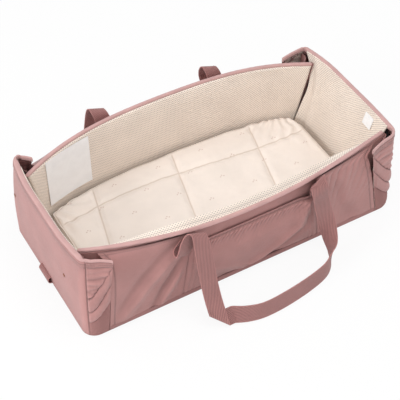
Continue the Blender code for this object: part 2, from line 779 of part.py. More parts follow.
def make_side_panel(parent, end, side):
    """An outer side panel beside the pocket. Its top is gathered to the rim, and soft folds run from
    the handle to its foot."""
    foot = FABRIC + SEAM_GAP + BASE_HEM + SEAM_GAP
    corner = corner_of(end, side.sign)

    def place(u, v):
        inner_top = end.sign * side.handle_shift + pocket_half(1) + SEAM_GAP
        x_top = inner_top + (WALL_HALF_LENGTH - inner_top) * u
        height = foot + (rim_length(side, x_top) - side.panel_drop - foot) * v
        up_pocket = min((height - foot) / (POCKET_TOP - foot), 1)
        inner = end.sign * side.handle_shift + pocket_half(up_pocket) + SEAM_GAP
        x = end.sign * (inner + (panel_outer_end(corner, height) - inner) * u)
        out, _, lean = wall_section(side, x, height)
        near_rim = min(3 * u, 1) * end.gather * v**PANEL_GATHER_POWER
        fold = PANEL_FOLD * math.sin(math.pi * v) * (1 + math.sin(math.pi * (5 * u + 2 * v))) / 2
        panel_out = PANEL_PLANE + (out + PANEL_STANDOFF - PANEL_PLANE) * near_rim + fold
        return Vector((x, side.sign * panel_out, height))

    cloth(parent, f"{side.name}_{end.name}_panel", 14, 7, place, FABRIC, PINK)


def pocket_out(share, v):
    """How far a pocket's cloth stands off the side, share from -1 to 1 along it."""
    swell = POCKET_PUFF * math.sqrt(max(1 - share**2, 0)) * math.sin(math.pi * (0.12 + 0.55 * v))
    foot_swell = POCKET_PUFF * math.sqrt(max(1 - share**2, 0)) * math.sin(math.pi * 0.12)
    ruffle = POCKET_RUFFLE * math.sin(math.pi * POCKET_RUFFLES * (share + 1)) * v**4
    return PANEL_PLANE + swell - foot_swell + ruffle * (1 - share**2)


def make_pocket(parent, side):
    """The gathered pocket between the handles, its elastic band and the hem of the base below."""
    foot = FABRIC + SEAM_GAP + BASE_HEM + SEAM_GAP

    def place_cloth(u, v):
        share = 2 * u - 1
        x = side.handle_shift + pocket_half(v) * share
        out = pocket_out(share, v)
        return Vector((x, side.sign * out, foot + (POCKET_TOP - foot) * v))

    def place_band(u, v):
        share = 2 * u - 1
        x = side.handle_shift + pocket_half(1) * share
        height = POCKET_TOP + SEAM_GAP + ELASTIC_HEIGHT * v
        return Vector((x, side.sign * pocket_out(share, 1), height))

    def place_hem(u, v):
        height = FABRIC + SEAM_GAP + BASE_HEM * v
        head = -panel_outer_end(corner_of(HEAD, side.sign), height)
        foot_end = panel_outer_end(corner_of(FOOT, side.sign), height)
        return Vector((head + (foot_end - head) * u, side.sign * PANEL_PLANE, height))

    cloth(parent, f"{side.name}_pocket", 32, 6, place_cloth, FABRIC, PINK)
    cloth(parent, f"{side.name}_pocket_elastic", 32, 1, place_band, ELASTIC, PALE_PINK)
    cloth(parent, f"{side.name}_base_hem", 4, 1, place_hem, FABRIC, DEEP_PINK)


def hinge_directions():
    """The webbing's way out and down at the hinge, and the direction square to it, out and up."""
    along = Vector((math.cos(HANDLE_HANG), -math.sin(HANDLE_HANG)))
    square = Vector((math.sin(HANDLE_HANG), math.cos(HANDLE_HANG)))
    return along, square


def bezier(points, share):
    """A point of a cubic curve."""
    a, b, c, d = points
    rest = 1 - share
    return a * rest**3 + b * 3 * rest**2 * share + c * 3 * rest * share**2 + d * share**3


def make_handle_root(parent, end, side):
    """The sewn root of a handle: it lies on the wall below the rim, and arches out to the hinge."""
    middle = side.handle_shift + end.sign * HANDLE_SPACING / 2
    off = -(SEAM_GAP + WEBBING / 2)
    along, square = hinge_directions()
    hinge = Vector((side.hinge_out, side.hinge_up))
    last = hinge - square * WEBBING / 2 - along * SEAM_GAP
    sewn_share = 0.25

    def place(u, v):
        x = middle + WEBBING_WIDTH * (u - 0.5)
        if v < sewn_share:
            up = HANDLE_SEWN_FROM + (side.sewn_to - HANDLE_SEWN_FROM) * v / sewn_share
            return wall_point(side, x, up, off)
        start = wall_point(side, x, side.sewn_to, off)
        lean = wall_section(side, x, side.sewn_to)[2] + side.root_turn
        first = Vector((abs(start.y), start.z))
        rise = first + Vector((math.sin(lean), math.cos(lean))) * side.root_rise
        curve = (first, rise, last - along * side.root_fall, last)
        out, height = bezier(curve, (v - sewn_share) / (1 - sewn_share))
        return Vector((x, side.sign * out, height))

    cloth(parent, f"{side.name}_{end.name}_handle_root", 2, 16, place, WEBBING, PALE_PINK)


def smooth_value(values, place):
    """A vector read from a smooth curve through a list of vectors, place from 0 to 1."""
    at = place * (len(values) - 1)
    i = min(int(at), len(values) - 2)
    t = at - i
    a, b, c, d = (values[min(max(i + k, 0), len(values) - 1)] for k in (-1, 0, 1, 2))
    return (
        b * 2 + (c - a) * t + (a * 2 - b * 5 + c * 4 - d) * t**2 + (b * 3 - a - c * 3 + d) * t**3
    ) / 2


def handle_leg_and_fold(side):
    """Sections of the handle from its near hinge down to the fold, and round the fold: the middle of
    each and its width. The webbing is folded over on a slant, which turns it from its way down to its
    way along the floor, behind its own leg."""
    along, square = hinge_directions()
    hinge = Vector((side.hinge_out, side.hinge_up)) - square * WEBBING / 2 + along * SEAM_GAP
    fold = Vector((side.hinge_out + HANDLE_REACH, HANDLE_FOLD_HEIGHT))
    kick = Vector((math.cos(HANDLE_KICK), -math.sin(HANDLE_KICK)))
    leg_end = fold - kick * HANDLE_FOLD_RAMP
    leg = (hinge, hinge + along * HANDLE_LEG_START, leg_end - kick * HANDLE_LEG_END, leg_end)
    x_leg = side.handle_shift - HANDLE_SPACING / 2
    across = Vector((1, 0, 0))
    down = Vector((0, side.sign * kick.x, kick.y))
    behind = Vector((0, side.sign * kick.y, -kick.x))
    corner = Vector((x_leg, side.sign * fold.x, fold.y))

    sections = []
    for i in range(10):
        out, height = bezier(leg, i / 10)
        sections.append((Vector((x_leg, side.sign * out, height)), across * WEBBING_WIDTH))
    for i in range(4):
        slant = i / 4
        middle = corner + down * HANDLE_FOLD_RAMP * (slant - 1)
        sections.append((middle, (across + down * slant) * WEBBING_WIDTH))
    fold_line = (across + down).normalized()
    beyond = (down - across).normalized()
    for i in range(5):
        turn = math.pi * i / 4
        middle = fold_line * turn + beyond * math.sin(turn) + behind * (1 - math.cos(turn))
        width = fold_line * WEBBING_WIDTH * math.sqrt(2)
        sections.append((corner + middle * HANDLE_FOLD_RADIUS, width))
    shift = HANDLE_FOLD_RADIUS * math.pi / math.sqrt(2)
    start = corner + (across + down) * shift + behind * 2 * HANDLE_FOLD_RADIUS
    for i in range(1, 5):
        slant = 1 - i / 4
        middle = start + across * HANDLE_FOLD_RAMP * (1 - slant)
        sections.append((middle, (across * slant + down) * WEBBING_WIDTH))
    return sections


def handle_run(side, first):
    """Sections of the handle from its folded corner to its far hinge, on from the first section."""
    along, square = hinge_directions()
    hinge = Vector((side.hinge_out, side.hinge_up)) - square * WEBBING / 2 + along * SEAM_GAP
    low = WEBBING_WIDTH / 2 + HANDLE_FLOOR_GAP
    line, widths = [first[0]], [first[1].normalized()]
    for (x, out, up), (wide_x, wide_out, wide_up) in HANDLE_ROUTE_SHARES:
        place_x = side.handle_shift + x * HANDLE_SPACING / 2
        place_y = side.sign * (hinge.x + out * HANDLE_REACH)
        line.append(Vector((place_x, place_y, low + up * (hinge.y - low))))
        widths.append(Vector((wide_x, side.sign * wide_out, wide_up)))
    line.append(Vector((side.handle_shift + HANDLE_SPACING / 2, side.sign * hinge.x, hinge.y)))
    widths.append(Vector((-1, 0, 0)))
    steps = HANDLE_STEPS * (len(line) - 1)
    tiny = 1e-3
    sections = []
    for i in range(1, steps + 1):
        share = i / steps
        ahead = smooth_value(line, min(share + tiny, 1)) - smooth_value(line, share - tiny)
        ahead.normalize()
        wide = smooth_value(widths, share)
        if i < steps:
            wide -= ahead * wide.dot(ahead)
        sections.append((smooth_value(line, share), wide.normalized() * WEBBING_WIDTH))
    return sections


def make_handle(parent, side):
    """A carrying handle: one length of webbing from hinge to hinge. It stands on its edge where it
    lies on the floor, is folded over at its head corner and twisted at its foot corner."""
    sections = handle_leg_and_fold(side)
    sections += handle_run(side, sections[-1])
    hinge = Vector((0, side.sign * side.hinge_out, side.hinge_up))
    axis = bpy.data.objects.new(f"{side.name}_handle_axis", None)
    parent.users_collection[0].objects.link(axis)
    axis.parent = parent
    axis.location = hinge

    def place(u, v):
        middle, width = sections[round(v * (len(sections) - 1))]
        return middle + width * (u - 0.5) - hinge

    rows = len(sections) - 1
    handle = cloth(parent, f"{side.name}_handle", 2, rows, place, WEBBING, PALE_PINK)
    handle.parent = axis


def make_head_loop(parent):
    """The webbing loop at the foot of the head end."""
    x_start = BASE_LENGTH / 2 + end_belly(0, LOOP_HIGH / END_HEIGHT) + SEAM_GAP
    middle, half = (LOOP_HIGH + LOOP_LOW) / 2, (LOOP_HIGH - LOOP_LOW) / 2

    def place(u, v):
        turn = math.pi * v
        x = x_start + LOOP_DEPTH * math.sin(turn)
        return Vector((-x, LOOP_OFFSET + LOOP_WIDTH * (u - 0.5), middle + half * math.cos(turn)))

    cloth(parent, "head_loop", 2, 12, place, FABRIC, PALE_PINK)


def make_stud(parent, name, y):
    """A domed copper stud on the head end: a turned profile."""
    mesh = bpy.data.meshes.new(name)
    steps = 5
    turns = [math.pi / 2 * i / steps for i in range(steps + 1)]
    profile = [(STUD_RADIUS * math.sin(a), 0, STUD_HEAD * math.cos(a)) for a in turns]
    profile.append((0, 0, 0))
    mesh.from_pydata(profile, [(i, i + 1) for i in range(len(profile) - 1)], [])
    stud = add_part(parent, name, mesh, COPPER, 0.35, 1.0)
    screw = stud.modifiers.new("turn", "SCREW")
    screw.steps = screw.render_steps = 16
    screw.use_merge_vertices = True
    screw.merge_threshold = 1e-5
    v = (STUD_HEIGHT - FABRIC) / (END_HEIGHT - FABRIC)
    spot = end_face(HEAD, y, v, 0)
    across = end_face(HEAD, y + STUD_RADIUS, v, 0) - spot
    up = end_face(HEAD, y, v + STUD_RADIUS / END_HEIGHT, 0) - spot
    out = up.cross(across).normalized()
    stud.location = spot + out * SEAM_GAP
    stud.rotation_euler = out.to_track_quat("Z", "Y").to_euler()


def make_labels(parent):
    """The blank care label on the back wall's lining and the small tag on the foot end's."""
    depth = wall_depth() + 2 * SEAM_GAP + LABEL_CLOTH / 2
    near = WALL_HALF_LENGTH - LABEL_INSET - LABEL_WIDTH

    def place_label(u, v):
        x = -(near + LABEL_WIDTH * u)
        return wall_point(BACK, x, LABEL_LOW + (LABEL_HIGH - LABEL_LOW) * v, depth)

    cloth(parent, "care_label", 8, 6, place_label, LABEL_CLOTH, WHITE)
    foot = FABRIC + END_LINING_RISE

    def place_tag(u, v):
        height = TAG_LOW + (TAG_HIGH - TAG_LOW) * v
        share = (height - foot) / (END_HEIGHT + MESH_LIP - foot)
        y = TAG_OFFSET + TAG_WIDTH * (u - 0.5)
        across = -y / end_lining_half(FOOT, FRONT, height)
        return end_lining_point(FOOT, across, share, MESH_CLOTH + SEAM_GAP + LABEL_CLOTH)

    cloth(parent, "side_tag", 3, 2, place_tag, LABEL_CLOTH, WHITE)


def main():
    clear_scene()
    root = make_root()[1]
    make_base(root)
    make_mattress(root)
    for side in (FRONT, BACK):
        make_wall(root, side)
        make_pocket(root, side)
        make_handle(root, side)
        for end in (HEAD, FOOT):
            make_side_panel(root, end, side)
            make_handle_root(root, end, side)
            make_wing(root, end, side)
            make_gusset(root, end, side)
    for end in (HEAD, FOOT):
        make_end_panel(root, end)
        make_end_board(root, end)
        make_end_lining(root, end)
        make_end_binding(root, end)
    make_head_loop(root)
    flat_half = BASE_WIDTH / 2 - CORNER_RADIUS
    make_stud(root, "head_stud_front", STUD_FRONT_INSET - flat_half)
    make_stud(root, "head_stud_back", flat_half - STUD_BACK_INSET)
    make_labels(root)


main()
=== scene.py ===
"""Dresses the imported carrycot: cloth, mesh, webbing, quilting and labels over the CAD parts.

Metres, +Z up, +X towards the foot end, -Y towards the front side, as in the frame. The shapes
follow the same wall section, rim and corner plan as the solids they stand for.
"""

import json
from collections import namedtuple
from math import atan2, copysign, cos, exp, hypot, pi, radians, sin, sqrt, tau

import bmesh
import bpy
import numpy as np
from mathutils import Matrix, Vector, noise


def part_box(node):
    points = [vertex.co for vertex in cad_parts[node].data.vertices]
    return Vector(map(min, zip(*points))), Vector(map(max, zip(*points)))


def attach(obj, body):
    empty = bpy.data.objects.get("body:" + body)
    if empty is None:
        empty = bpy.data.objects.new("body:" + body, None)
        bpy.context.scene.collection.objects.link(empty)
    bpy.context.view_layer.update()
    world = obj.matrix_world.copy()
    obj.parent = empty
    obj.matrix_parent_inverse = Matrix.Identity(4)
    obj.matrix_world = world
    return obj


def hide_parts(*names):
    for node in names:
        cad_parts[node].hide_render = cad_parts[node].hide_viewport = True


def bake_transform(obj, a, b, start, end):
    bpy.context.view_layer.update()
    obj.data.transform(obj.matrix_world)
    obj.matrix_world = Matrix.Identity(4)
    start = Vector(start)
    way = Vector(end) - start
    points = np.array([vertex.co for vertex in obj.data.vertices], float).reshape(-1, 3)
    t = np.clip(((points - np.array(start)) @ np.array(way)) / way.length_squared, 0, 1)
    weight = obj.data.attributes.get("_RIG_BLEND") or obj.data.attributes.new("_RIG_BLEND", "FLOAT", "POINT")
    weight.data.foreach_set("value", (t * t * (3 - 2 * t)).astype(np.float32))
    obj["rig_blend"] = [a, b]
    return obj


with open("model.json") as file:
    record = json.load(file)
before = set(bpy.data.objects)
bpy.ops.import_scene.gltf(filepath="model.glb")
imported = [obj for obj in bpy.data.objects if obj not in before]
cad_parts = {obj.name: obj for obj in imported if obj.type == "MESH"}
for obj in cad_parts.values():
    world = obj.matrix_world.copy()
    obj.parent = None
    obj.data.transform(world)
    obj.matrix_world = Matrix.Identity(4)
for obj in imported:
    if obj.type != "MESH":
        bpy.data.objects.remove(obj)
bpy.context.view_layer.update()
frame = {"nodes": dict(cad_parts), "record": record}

bl_info = {
    "name": "Soft carrycot",
    "version": (1, 0, 0),
    "blender": (4, 5, 0),
    "location": "3D View > Sidebar > Carrycot",
    "description": "Builds the sewn pieces of a soft carrycot over its solids",
    "category": "Object",
}

# Driving sizes, read from the solids
HALF_LENGTH, HALF_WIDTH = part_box("base_fabric")[1][:2]
BASE_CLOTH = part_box("base_fabric")[1][2]
END_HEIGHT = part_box("head_end_panel")[1][2]
MATTRESS_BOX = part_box("mattress")
CORNER_RADIUS = 0.030
GAP = 0.0003
FLOOR_GAP = BASE_CLOTH + GAP

# Cloth thicknesses, and how deep each layer of a long wall lies inside its outer face
CLOTH = 0.0012
THIN_CLOTH = 0.0010
SHELL_DEPTH = 0.0012
FOAM_DEPTH = 0.0065
LINING_DEPTH = 0.0118
MESH_EDGE_DEPTH = 0.0086
LINING_FOOT = BASE_CLOTH + 0.0009

# Long walls
WALL_HALF_LENGTH = HALF_LENGTH - 0.058
WALL_MIDDLE = HALF_WIDTH - 0.0045
BOW_POWER = 3.2
LEAN_REACH = 0.330
LEAN_POWER = 1.3
MESH_LIP = 0.0035

# Panels, pockets and hems
PANEL_PLANE = HALF_WIDTH - 0.001
OFF_WALL = 0.0014
SIDE_PANEL_LENGTH = 0.18
RIM_HALF_LENGTH = HALF_LENGTH - 0.048
HEM_HEIGHT = 0.012
HEM_TURN = 0.0012
PANEL_FOOT = FLOOR_GAP + HEM_HEIGHT + GAP
POCKET_HALF_LENGTH = 0.171
POCKET_TAPER = 0.0185
POCKET_TOP = 0.148
POCKET_BAND = 0.0063
POCKET_PUFF = 0.014
POCKET_GATHER_PITCH = 0.0105

# Ends and wings
CORNER_SEAM_GAP = 0.0009
END_BOARD_HALF_WIDTH = HALF_WIDTH - CORNER_RADIUS - 0.006
END_BELLY = 0.006
END_BOARD_GAP = 0.0008
END_BOARD = 0.004
END_LINING_GAP = 0.0006
END_LINING_DEPTH = 0.005
END_TAPE_THICKNESS = 0.0114
WING_TAPE_THICKNESS = 0.0056
WING_TUCK_SHARES = ((0.0, 0.0), (0.20, 0.43), (0.345, 0.69), (0.53, 0.93), (1.0, 1.0))
WING_BANDS = len(WING_TUCK_SHARES) - 1
WING_TUCK_CURVE = 1.8
KNIT_PITCH = 0.0034
END_HEM_LINES = (0.014, 0.0062)
WING_HEM_LINES = (0.012, 0.0062)

# Flat cuts: widths of folded strips, and how much longer a gathered cut is than its place
GUSSET_CUT = 0.085
SIDE_PANEL_GATHER = 1.05

# Mattress
MATTRESS_HALF_LENGTH = HALF_LENGTH - 0.060
MATTRESS_CLEARANCE = 0.0035
MATTRESS_STRAIGHT = WALL_MIDDLE - LINING_DEPTH - MATTRESS_CLEARANCE
QUILT_ROW = 0.082
QUILT_COLUMN = 0.205
QUILT_SHIFT = -0.0165
QUILT_SLANT = 0.25
QUILT_WANDER = 0.014
EDGE_SEAM = 0.011
BLOWN_INSET = 0.003
BLOWN_VOXEL = 0.006
SWELL_CAP = 0.0055
SWELL_FRAMES = 20
PUCKERED_CORNERS = ((-0.335, 0.150), (0.290, 0.175))
PRINT_COLOUR = (0.42, 0.22, 0.16, 1.0)
# Colour of the painted shade in the mattress's sewn channels and edge seam
QUILT_CHANNEL_SHADE_COLOUR = (0.47, 0.34, 0.25, 1.0)

# Handles
WEBBING = 0.0020
WEBBING_WIDTH = 0.038
WEBBING_RIBS = 11
HANDLE_SPACING = 0.285
HANDLE_REACH = 0.0778
HANDLE_KICK = radians(55)
HANDLE_HANG = radians(60)
HANDLE_FOLD_HEIGHT = 0.0268
HANDLE_FOLD_RADIUS = 0.0028
HANDLE_FOLD_RAMP = 0.028
HANDLE_LEG_START = 0.030
HANDLE_LEG_END = 0.060
HANDLE_FLOOR_GAP = 0.0010
# The way along the floor and up to the far hinge, in shares of the spacing, the reach and the
# height (along, out, up), each with the direction of the webbing's width
HANDLE_ROUTE_SHARES = (
    ((-0.579, 1.180, 0.000), (0.0, 0.45, -1.0)),
    ((-0.326, 1.295, 0.000), (0.0, 0.30, -1.0)),
    ((0.025, 1.280, 0.000), (0.0, 0.30, -1.0)),
    ((0.474, 1.167, 0.000), (0.0, 0.28, -1.0)),
    ((0.846, 0.994, 0.002), (0.0, 0.22, -1.0)),
    ((1.035, 0.770, 0.012), (0.05, 0.05, -1.0)),
    ((1.140, 0.520, 0.055), (-0.05, -0.50, -0.85)),
    ((1.180, 0.310, 0.160), (-0.45, -0.85, -0.25)),
    ((1.165, 0.170, 0.320), (-0.84, -0.52, 0.0)),
    ((1.120, 0.080, 0.520), (-1.0, -0.12, 0.0)),
    ((1.060, 0.040, 0.730), (-0.98, 0.05, -0.18)),
    ((1.015, 0.060, 0.890), (-0.86, 0.0, -0.50)),
)

# The photograph's camera, solved for its 400 x 400 frame
CAMERA_AZIMUTH = radians(-30.025)
CAMERA_ELEVATION = radians(46.67)
CAMERA_DISTANCE = 2.4967
CAMERA_TARGET = Vector((-0.03374, -0.03947, 0.1))
FOCAL_PIXELS = 1150.15
PHOTO_PIXELS = 400

# Floor, world and lamps: place, size and power
FLOOR_SIZE = 80
FLOOR_GREY = 0.88
WORLD_LEVEL = 0.76
KEY_LAMP = (Vector((-2.3, -0.15, 1.3)), 0.7, 21.0)
TOP_LAMP = (Vector((0.2, -0.8, 2.7)), 1.6, 22.5)


def hinge_of(body):
    """Place of a handle's hinge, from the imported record."""
    joints = frame["record"]["behaviour"]["joints"]
    return Vector(next(joint["pos_m"] for joint in joints if joint["child"] == body))


def slot_colour(slot):
    """Linear colour that the record gives a material slot."""
    return next(m["base_color"] for m in frame["record"]["materials"] if m["slot"] == slot)


# A long side: how far its wall bows in at each end and leans out in an arc under its rim, the
# length of its section, the padded roll behind its rim, and where its handle hangs
Side = namedtuple(
    "Side", "name sign head_bow foot_bow lean arc rim_length rim_dip roll shift hinge"
)
FRONT = Side(
    name="front", sign=-1, head_bow=0.034, foot_bow=0.018, lean=radians(74), arc=0.0145,
    rim_length=0.2005, rim_dip=-0.0050, roll=0.0135,
    shift=hinge_of("front_handle").x, hinge=hinge_of("front_handle"),
)
BACK = Side(
    name="back", sign=1, head_bow=0.041, foot_bow=0.041, lean=radians(12), arc=0.034,
    rim_length=0.2150, rim_dip=0.012, roll=0.0,
    shift=hinge_of("back_handle").x, hinge=hinge_of("back_handle"),
)
# A corner: how far its wing reaches at the top and the foot, and how far the outline draws in at
# the rim, at the corner's seam and at the wing's edge
Corner = namedtuple("Corner", "wing_top wing_foot draw edge_draw")
End = namedtuple("End", "name sign front back rim_inset lining_top mattress_corner")
HEAD = End(
    name="head", sign=-1, rim_inset=0.0175, lining_top=END_BOARD_HALF_WIDTH - 0.016,
    front=Corner(wing_top=0.035, wing_foot=0.018, draw=0.016, edge_draw=-0.010),
    back=Corner(wing_top=0.018, wing_foot=0.018, draw=0.016, edge_draw=0.040),
    mattress_corner=0.055,
)
FOOT = End(
    name="foot", sign=1, rim_inset=0.0235, lining_top=END_BOARD_HALF_WIDTH,
    front=Corner(wing_top=0.056, wing_foot=0.012, draw=0.005, edge_draw=-0.014),
    back=Corner(wing_top=0.056, wing_foot=0.012, draw=0.020, edge_draw=0.030),
    mattress_corner=0.095,
)
SIDES = (FRONT, BACK)
ENDS = (HEAD, FOOT)


def side_at(y):
    """The long side that a place across the carrycot lies on."""
    return BACK if y > 0 else FRONT


def end_at(x):
    """The end that a place along the carrycot lies towards."""
    return HEAD if x < 0 else FOOT


# Settings that a user would change

class CarrycotSizes(bpy.types.PropertyGroup):
    """Sizes of the sewn detail"""

    fold_depth: bpy.props.FloatProperty(
        name="Fold depth", description="Depth of the soft folds in the side panels",
        default=0.0062, min=0.0, max=0.008, unit="LENGTH",
    )
    gather_depth: bpy.props.FloatProperty(
        name="Gather depth", description="Depth of the gathers under the rim and the pocket's seam",
        default=0.0022, min=0.0, max=0.004, unit="LENGTH",
    )
    wing_puff: bpy.props.FloatProperty(
        name="Wing padding", description="How far the wing's pleats stand out between their tucks",
        default=0.0055, min=0.0, max=0.008, unit="LENGTH",
    )
    quilt_depth: bpy.props.FloatProperty(
        name="Quilt depth", description="Depth of the mattress's sewn channels",
        default=0.0050, min=0.0, max=0.010, unit="LENGTH",
    )
    stitch_length: bpy.props.FloatProperty(
        name="Stitch length", description="Length of one stitch with its gap",
        default=0.0036, min=0.002, max=0.008, unit="LENGTH",
    )
    mesh_pitch: bpy.props.FloatProperty(
        name="Mesh pitch", description="Distance between two holes of the mesh along a row",
        default=0.0055, min=0.003, max=0.010, unit="LENGTH",
    )


def colour_property(name, description, default):
    """A colour setting, linear."""
    return bpy.props.FloatVectorProperty(
        name=name, description=description, default=default[:3],
        size=3, min=0.0, max=1.0, subtype="COLOR",
    )


class CarrycotColours(bpy.types.PropertyGroup):
    """Colours of the cloths"""

    shell: colour_property("Shell", "Outer cloth", slot_colour("shell_cloth"))
    binding: colour_property("Binding", "Bound edges", slot_colour("binding"))
    webbing: colour_property("Webbing", "Handles and loop", (0.42, 0.185, 0.172))
    base: colour_property("Base", "Base cloth and hems", slot_colour("base_cloth"))
    mesh: colour_property("Mesh", "Spacer mesh lining", (0.85, 0.745, 0.655))
    mattress: colour_property("Mattress", "Mattress cover", (0.87, 0.78, 0.71))
    label: colour_property("Label", "Blank label and tag", (0.97, 0.97, 0.98))
    board: colour_property("Board", "Stiff boards", slot_colour("board"))
    stud: colour_property("Stud", "Metal studs", slot_colour("stud"))


def sizes():
    return bpy.context.scene.carrycot_sizes


def colours():
    return bpy.context.scene.carrycot_colours


# Shapes that the solids share

def bow_depth(side, x):
    """How far a long wall draws in at the end that a place lies towards."""
    return side.head_bow if x < 0 else side.foot_bow


def bow(side, x):
    """Distance of a long wall's outer face from the middle plane."""
    return WALL_MIDDLE - bow_depth(side, x) * abs(x / WALL_HALF_LENGTH) ** BOW_POWER


def bow_slope(side, x):
    """How fast a long wall's outer face draws in along its length."""
    steepest = bow_depth(side, x) / WALL_HALF_LENGTH * BOW_POWER
    return -copysign(steepest * abs(x / WALL_HALF_LENGTH) ** (BOW_POWER - 1), x)


def inside_wall(side, x, depth):
    """Distance from the middle plane of a place square in from a long wall's outer face."""
    return bow(side, x) - depth * hypot(1, bow_slope(side, x))


def rim_length(side, x):
    """Length of the wall's section from the floor to the foot of its binding."""
    return side.rim_length - side.rim_dip * (x / WALL_HALF_LENGTH) ** 2


def wall_section(side, x, up):
    """Out, height and lean of a wall's outer face at a length up its section."""
    reach = min(abs(x) / LEAN_REACH, 1.0)
    lean_most = side.lean * cos(reach * pi / 2) ** LEAN_POWER
    arc_start = rim_length(side, x) - side.arc
    past = up - arc_start
    if past <= 0 or lean_most < 1e-6:
        return bow(side, x), up, 0.0
    radius = side.arc / lean_most
    lean = min(past, side.arc) / radius
    beyond = max(past - side.arc, 0)
    out = bow(side, x) + radius * (1 - cos(lean)) + beyond * sin(lean)
    return out, arc_start + radius * sin(lean) + beyond * cos(lean), lean


def wall_point(side, x, up, depth):
    """A point of a long wall, depth inside its outer face."""
    out, height, lean = wall_section(side, x, up)
    slope = bow_slope(side, x)
    level = depth * cos(lean) / hypot(1, slope)
    return Vector((x + level * slope, side.sign * (out - level), height + depth * sin(lean)))


def wall_station(u, even_share=0.7):
    """Spreads the columns of a wall so that they lie closer at its bent ends."""
    share = 2 * u - 1
    bent = sin(pi / 2 * share)
    return WALL_HALF_LENGTH * (even_share * share + (1 - even_share) * bent)


def wall_spread(side, x, up):
    """Place along a long wall at a length up its section: the wall grows longer towards its rim."""
    grown = (HALF_LENGTH - end_at(x).rim_inset) / WALL_HALF_LENGTH - 1
    return x * (1 + grown * min(up / side.rim_length, 1))


def wall_rise(side, x, lip, v, upright_share=0.5):
    """Length up a wall's section, with half of the rows in its leaning top."""
    bend = rim_length(side, x) - side.arc
    if v < upright_share:
        return FLOOR_GAP + (bend - FLOOR_GAP) * v / upright_share
    return bend + (side.arc + lip) * (v - upright_share) / (1 - upright_share)


def mattress_half_width(side, x):
    """Half width of the mattress on one side: it follows the lining and has round corners."""
    radius = end_at(x).mattress_corner
    along = max(abs(x) - (MATTRESS_HALF_LENGTH - radius), 0)
    corner = MATTRESS_STRAIGHT - radius + sqrt(max(radius**2 - along**2, 0))
    return min(corner, inside_wall(side, x, LINING_DEPTH + MATTRESS_CLEARANCE))


def end_plan(along):
    """Place and outward direction on the base's outline, along it from the middle of an end."""
    flat = HALF_WIDTH - CORNER_RADIUS
    arc = CORNER_RADIUS * pi / 2
    distance = abs(along)
    turn = pi / 2 * min(max(distance - flat, 0) / arc, 1)
    back_along = max(distance - flat - arc, 0)
    x = HALF_LENGTH - CORNER_RADIUS * (1 - cos(turn)) - back_along
    y = min(distance, flat) + CORNER_RADIUS * sin(turn)
    across = copysign(1, along)
    return Vector((x, across * y)), Vector((cos(turn), across * sin(turn)))


CORNER_SEAM = HALF_WIDTH - CORNER_RADIUS + CORNER_RADIUS * pi / 4
CORNER_END = HALF_WIDTH - CORNER_RADIUS + CORNER_RADIUS * pi / 2


def corner_of(end, across):
    """The corner of an end on the front or the back side, told by the sign of a place across it."""
    return end.back if across > 0 else end.front


def wing_length(corner, height):
    """How far a wing reaches beyond the round corner at a height above the floor."""
    return corner.wing_foot + (corner.wing_top - corner.wing_foot) * height / END_HEIGHT


def wing_edge(corner, height):
    """Distance along the outline from the middle of an end to the wing's free edge."""
    return CORNER_END + wing_length(corner, height)


def end_belly(along, v):
    """How far the end's outer cloth swells out."""
    share = min(abs(along) / CORNER_SEAM, 1)
    return END_BELLY * (1 - share**4) * sin(pi * min(max(v, 0), 1)) ** 1.5


def drawn_in(end, along, height, flat_share=0.3):
    """How far the outline of an end and its wings draws in at a height, most at the rim."""
    corner = corner_of(end, along)
    if abs(along) < CORNER_SEAM:
        most = corner.draw * (max(abs(along) / CORNER_SEAM - flat_share, 0) / (1 - flat_share)) ** 2
    else:
        share = (abs(along) - CORNER_SEAM) / (wing_edge(corner, height) - CORNER_SEAM)
        most = corner.draw + (corner.edge_draw - corner.draw) * min(share, 1) ** 2
    return most * (min(height, END_HEIGHT) / END_HEIGHT) ** 2


def panel_outer_end(end, side, height):
    """Distance from the middle to the hem of an outer side panel, beside the wing's edge."""
    return HALF_LENGTH - CORNER_RADIUS - wing_length(corner_of(end, side.sign), height) - 0.0015


def pocket_half(v):
    """Half length of a pocket, which the elastic narrows towards its mouth."""
    return POCKET_HALF_LENGTH - POCKET_TAPER * v


def crinkle(seed, *place):
    """Smooth noise from -1 to 1 at a place counted in wrinkle sizes."""
    x, y, z = (*place, 0.0, 0.0)[:3]
    return noise.noise(Vector((x + 17.3 * seed, y - 9.1 * seed, z + 4.7 * seed)))


def smooth_rise(value, low, high):
    """0 below low, 1 above high and a smooth rise between them."""
    share = min(max((value - low) / (high - low), 0.0), 1.0)
    return share * share * (3 - 2 * share)


def fold_along(x, z, line, width):
    """Height of a soft fold along a line of points: a ridge with a valley under it."""
    nearest, offset = None, 0.0
    for (ax, az), (bx, bz) in zip(line, line[1:]):
        dx, dz = bx - ax, bz - az
        t = min(max(((x - ax) * dx + (z - az) * dz) / (dx * dx + dz * dz), 0.0), 1.0)
        gap_x, gap_z = x - ax - t * dx, z - az - t * dz
        away = hypot(gap_x, gap_z)
        if nearest is None or away < nearest:
            nearest = away
            offset = copysign(away, gap_x * dz - gap_z * dx) / width
    return exp(-(offset**2)) - 0.7 * exp(-((offset - 1.7) ** 2))


def gathered(place, pitch, seed=0):
    """Round ridges from 0 to 1 about one pitch apart, with sharp valleys between them."""
    shifted = place / pitch + 0.45 * crinkle(seed, place / (3 * pitch), seed)
    return abs(sin(pi * shifted)) ** 0.7


def round_edge(distance, radius=0.006):
    """Share of a padded sheet's thickness at a distance from its round edge."""
    return sqrt(1 - (1 - min(distance / radius, 1)) ** 2)


def superellipse(turn, half_a, half_b, power=3.0):
    """A point of a rounded rectangle at an angle round it."""
    c, s = cos(turn), sin(turn)
    return (
        half_a * copysign(abs(c) ** (2 / power), c),
        half_b * copysign(abs(s) ** (2 / power), s),
    )


# Making pieces

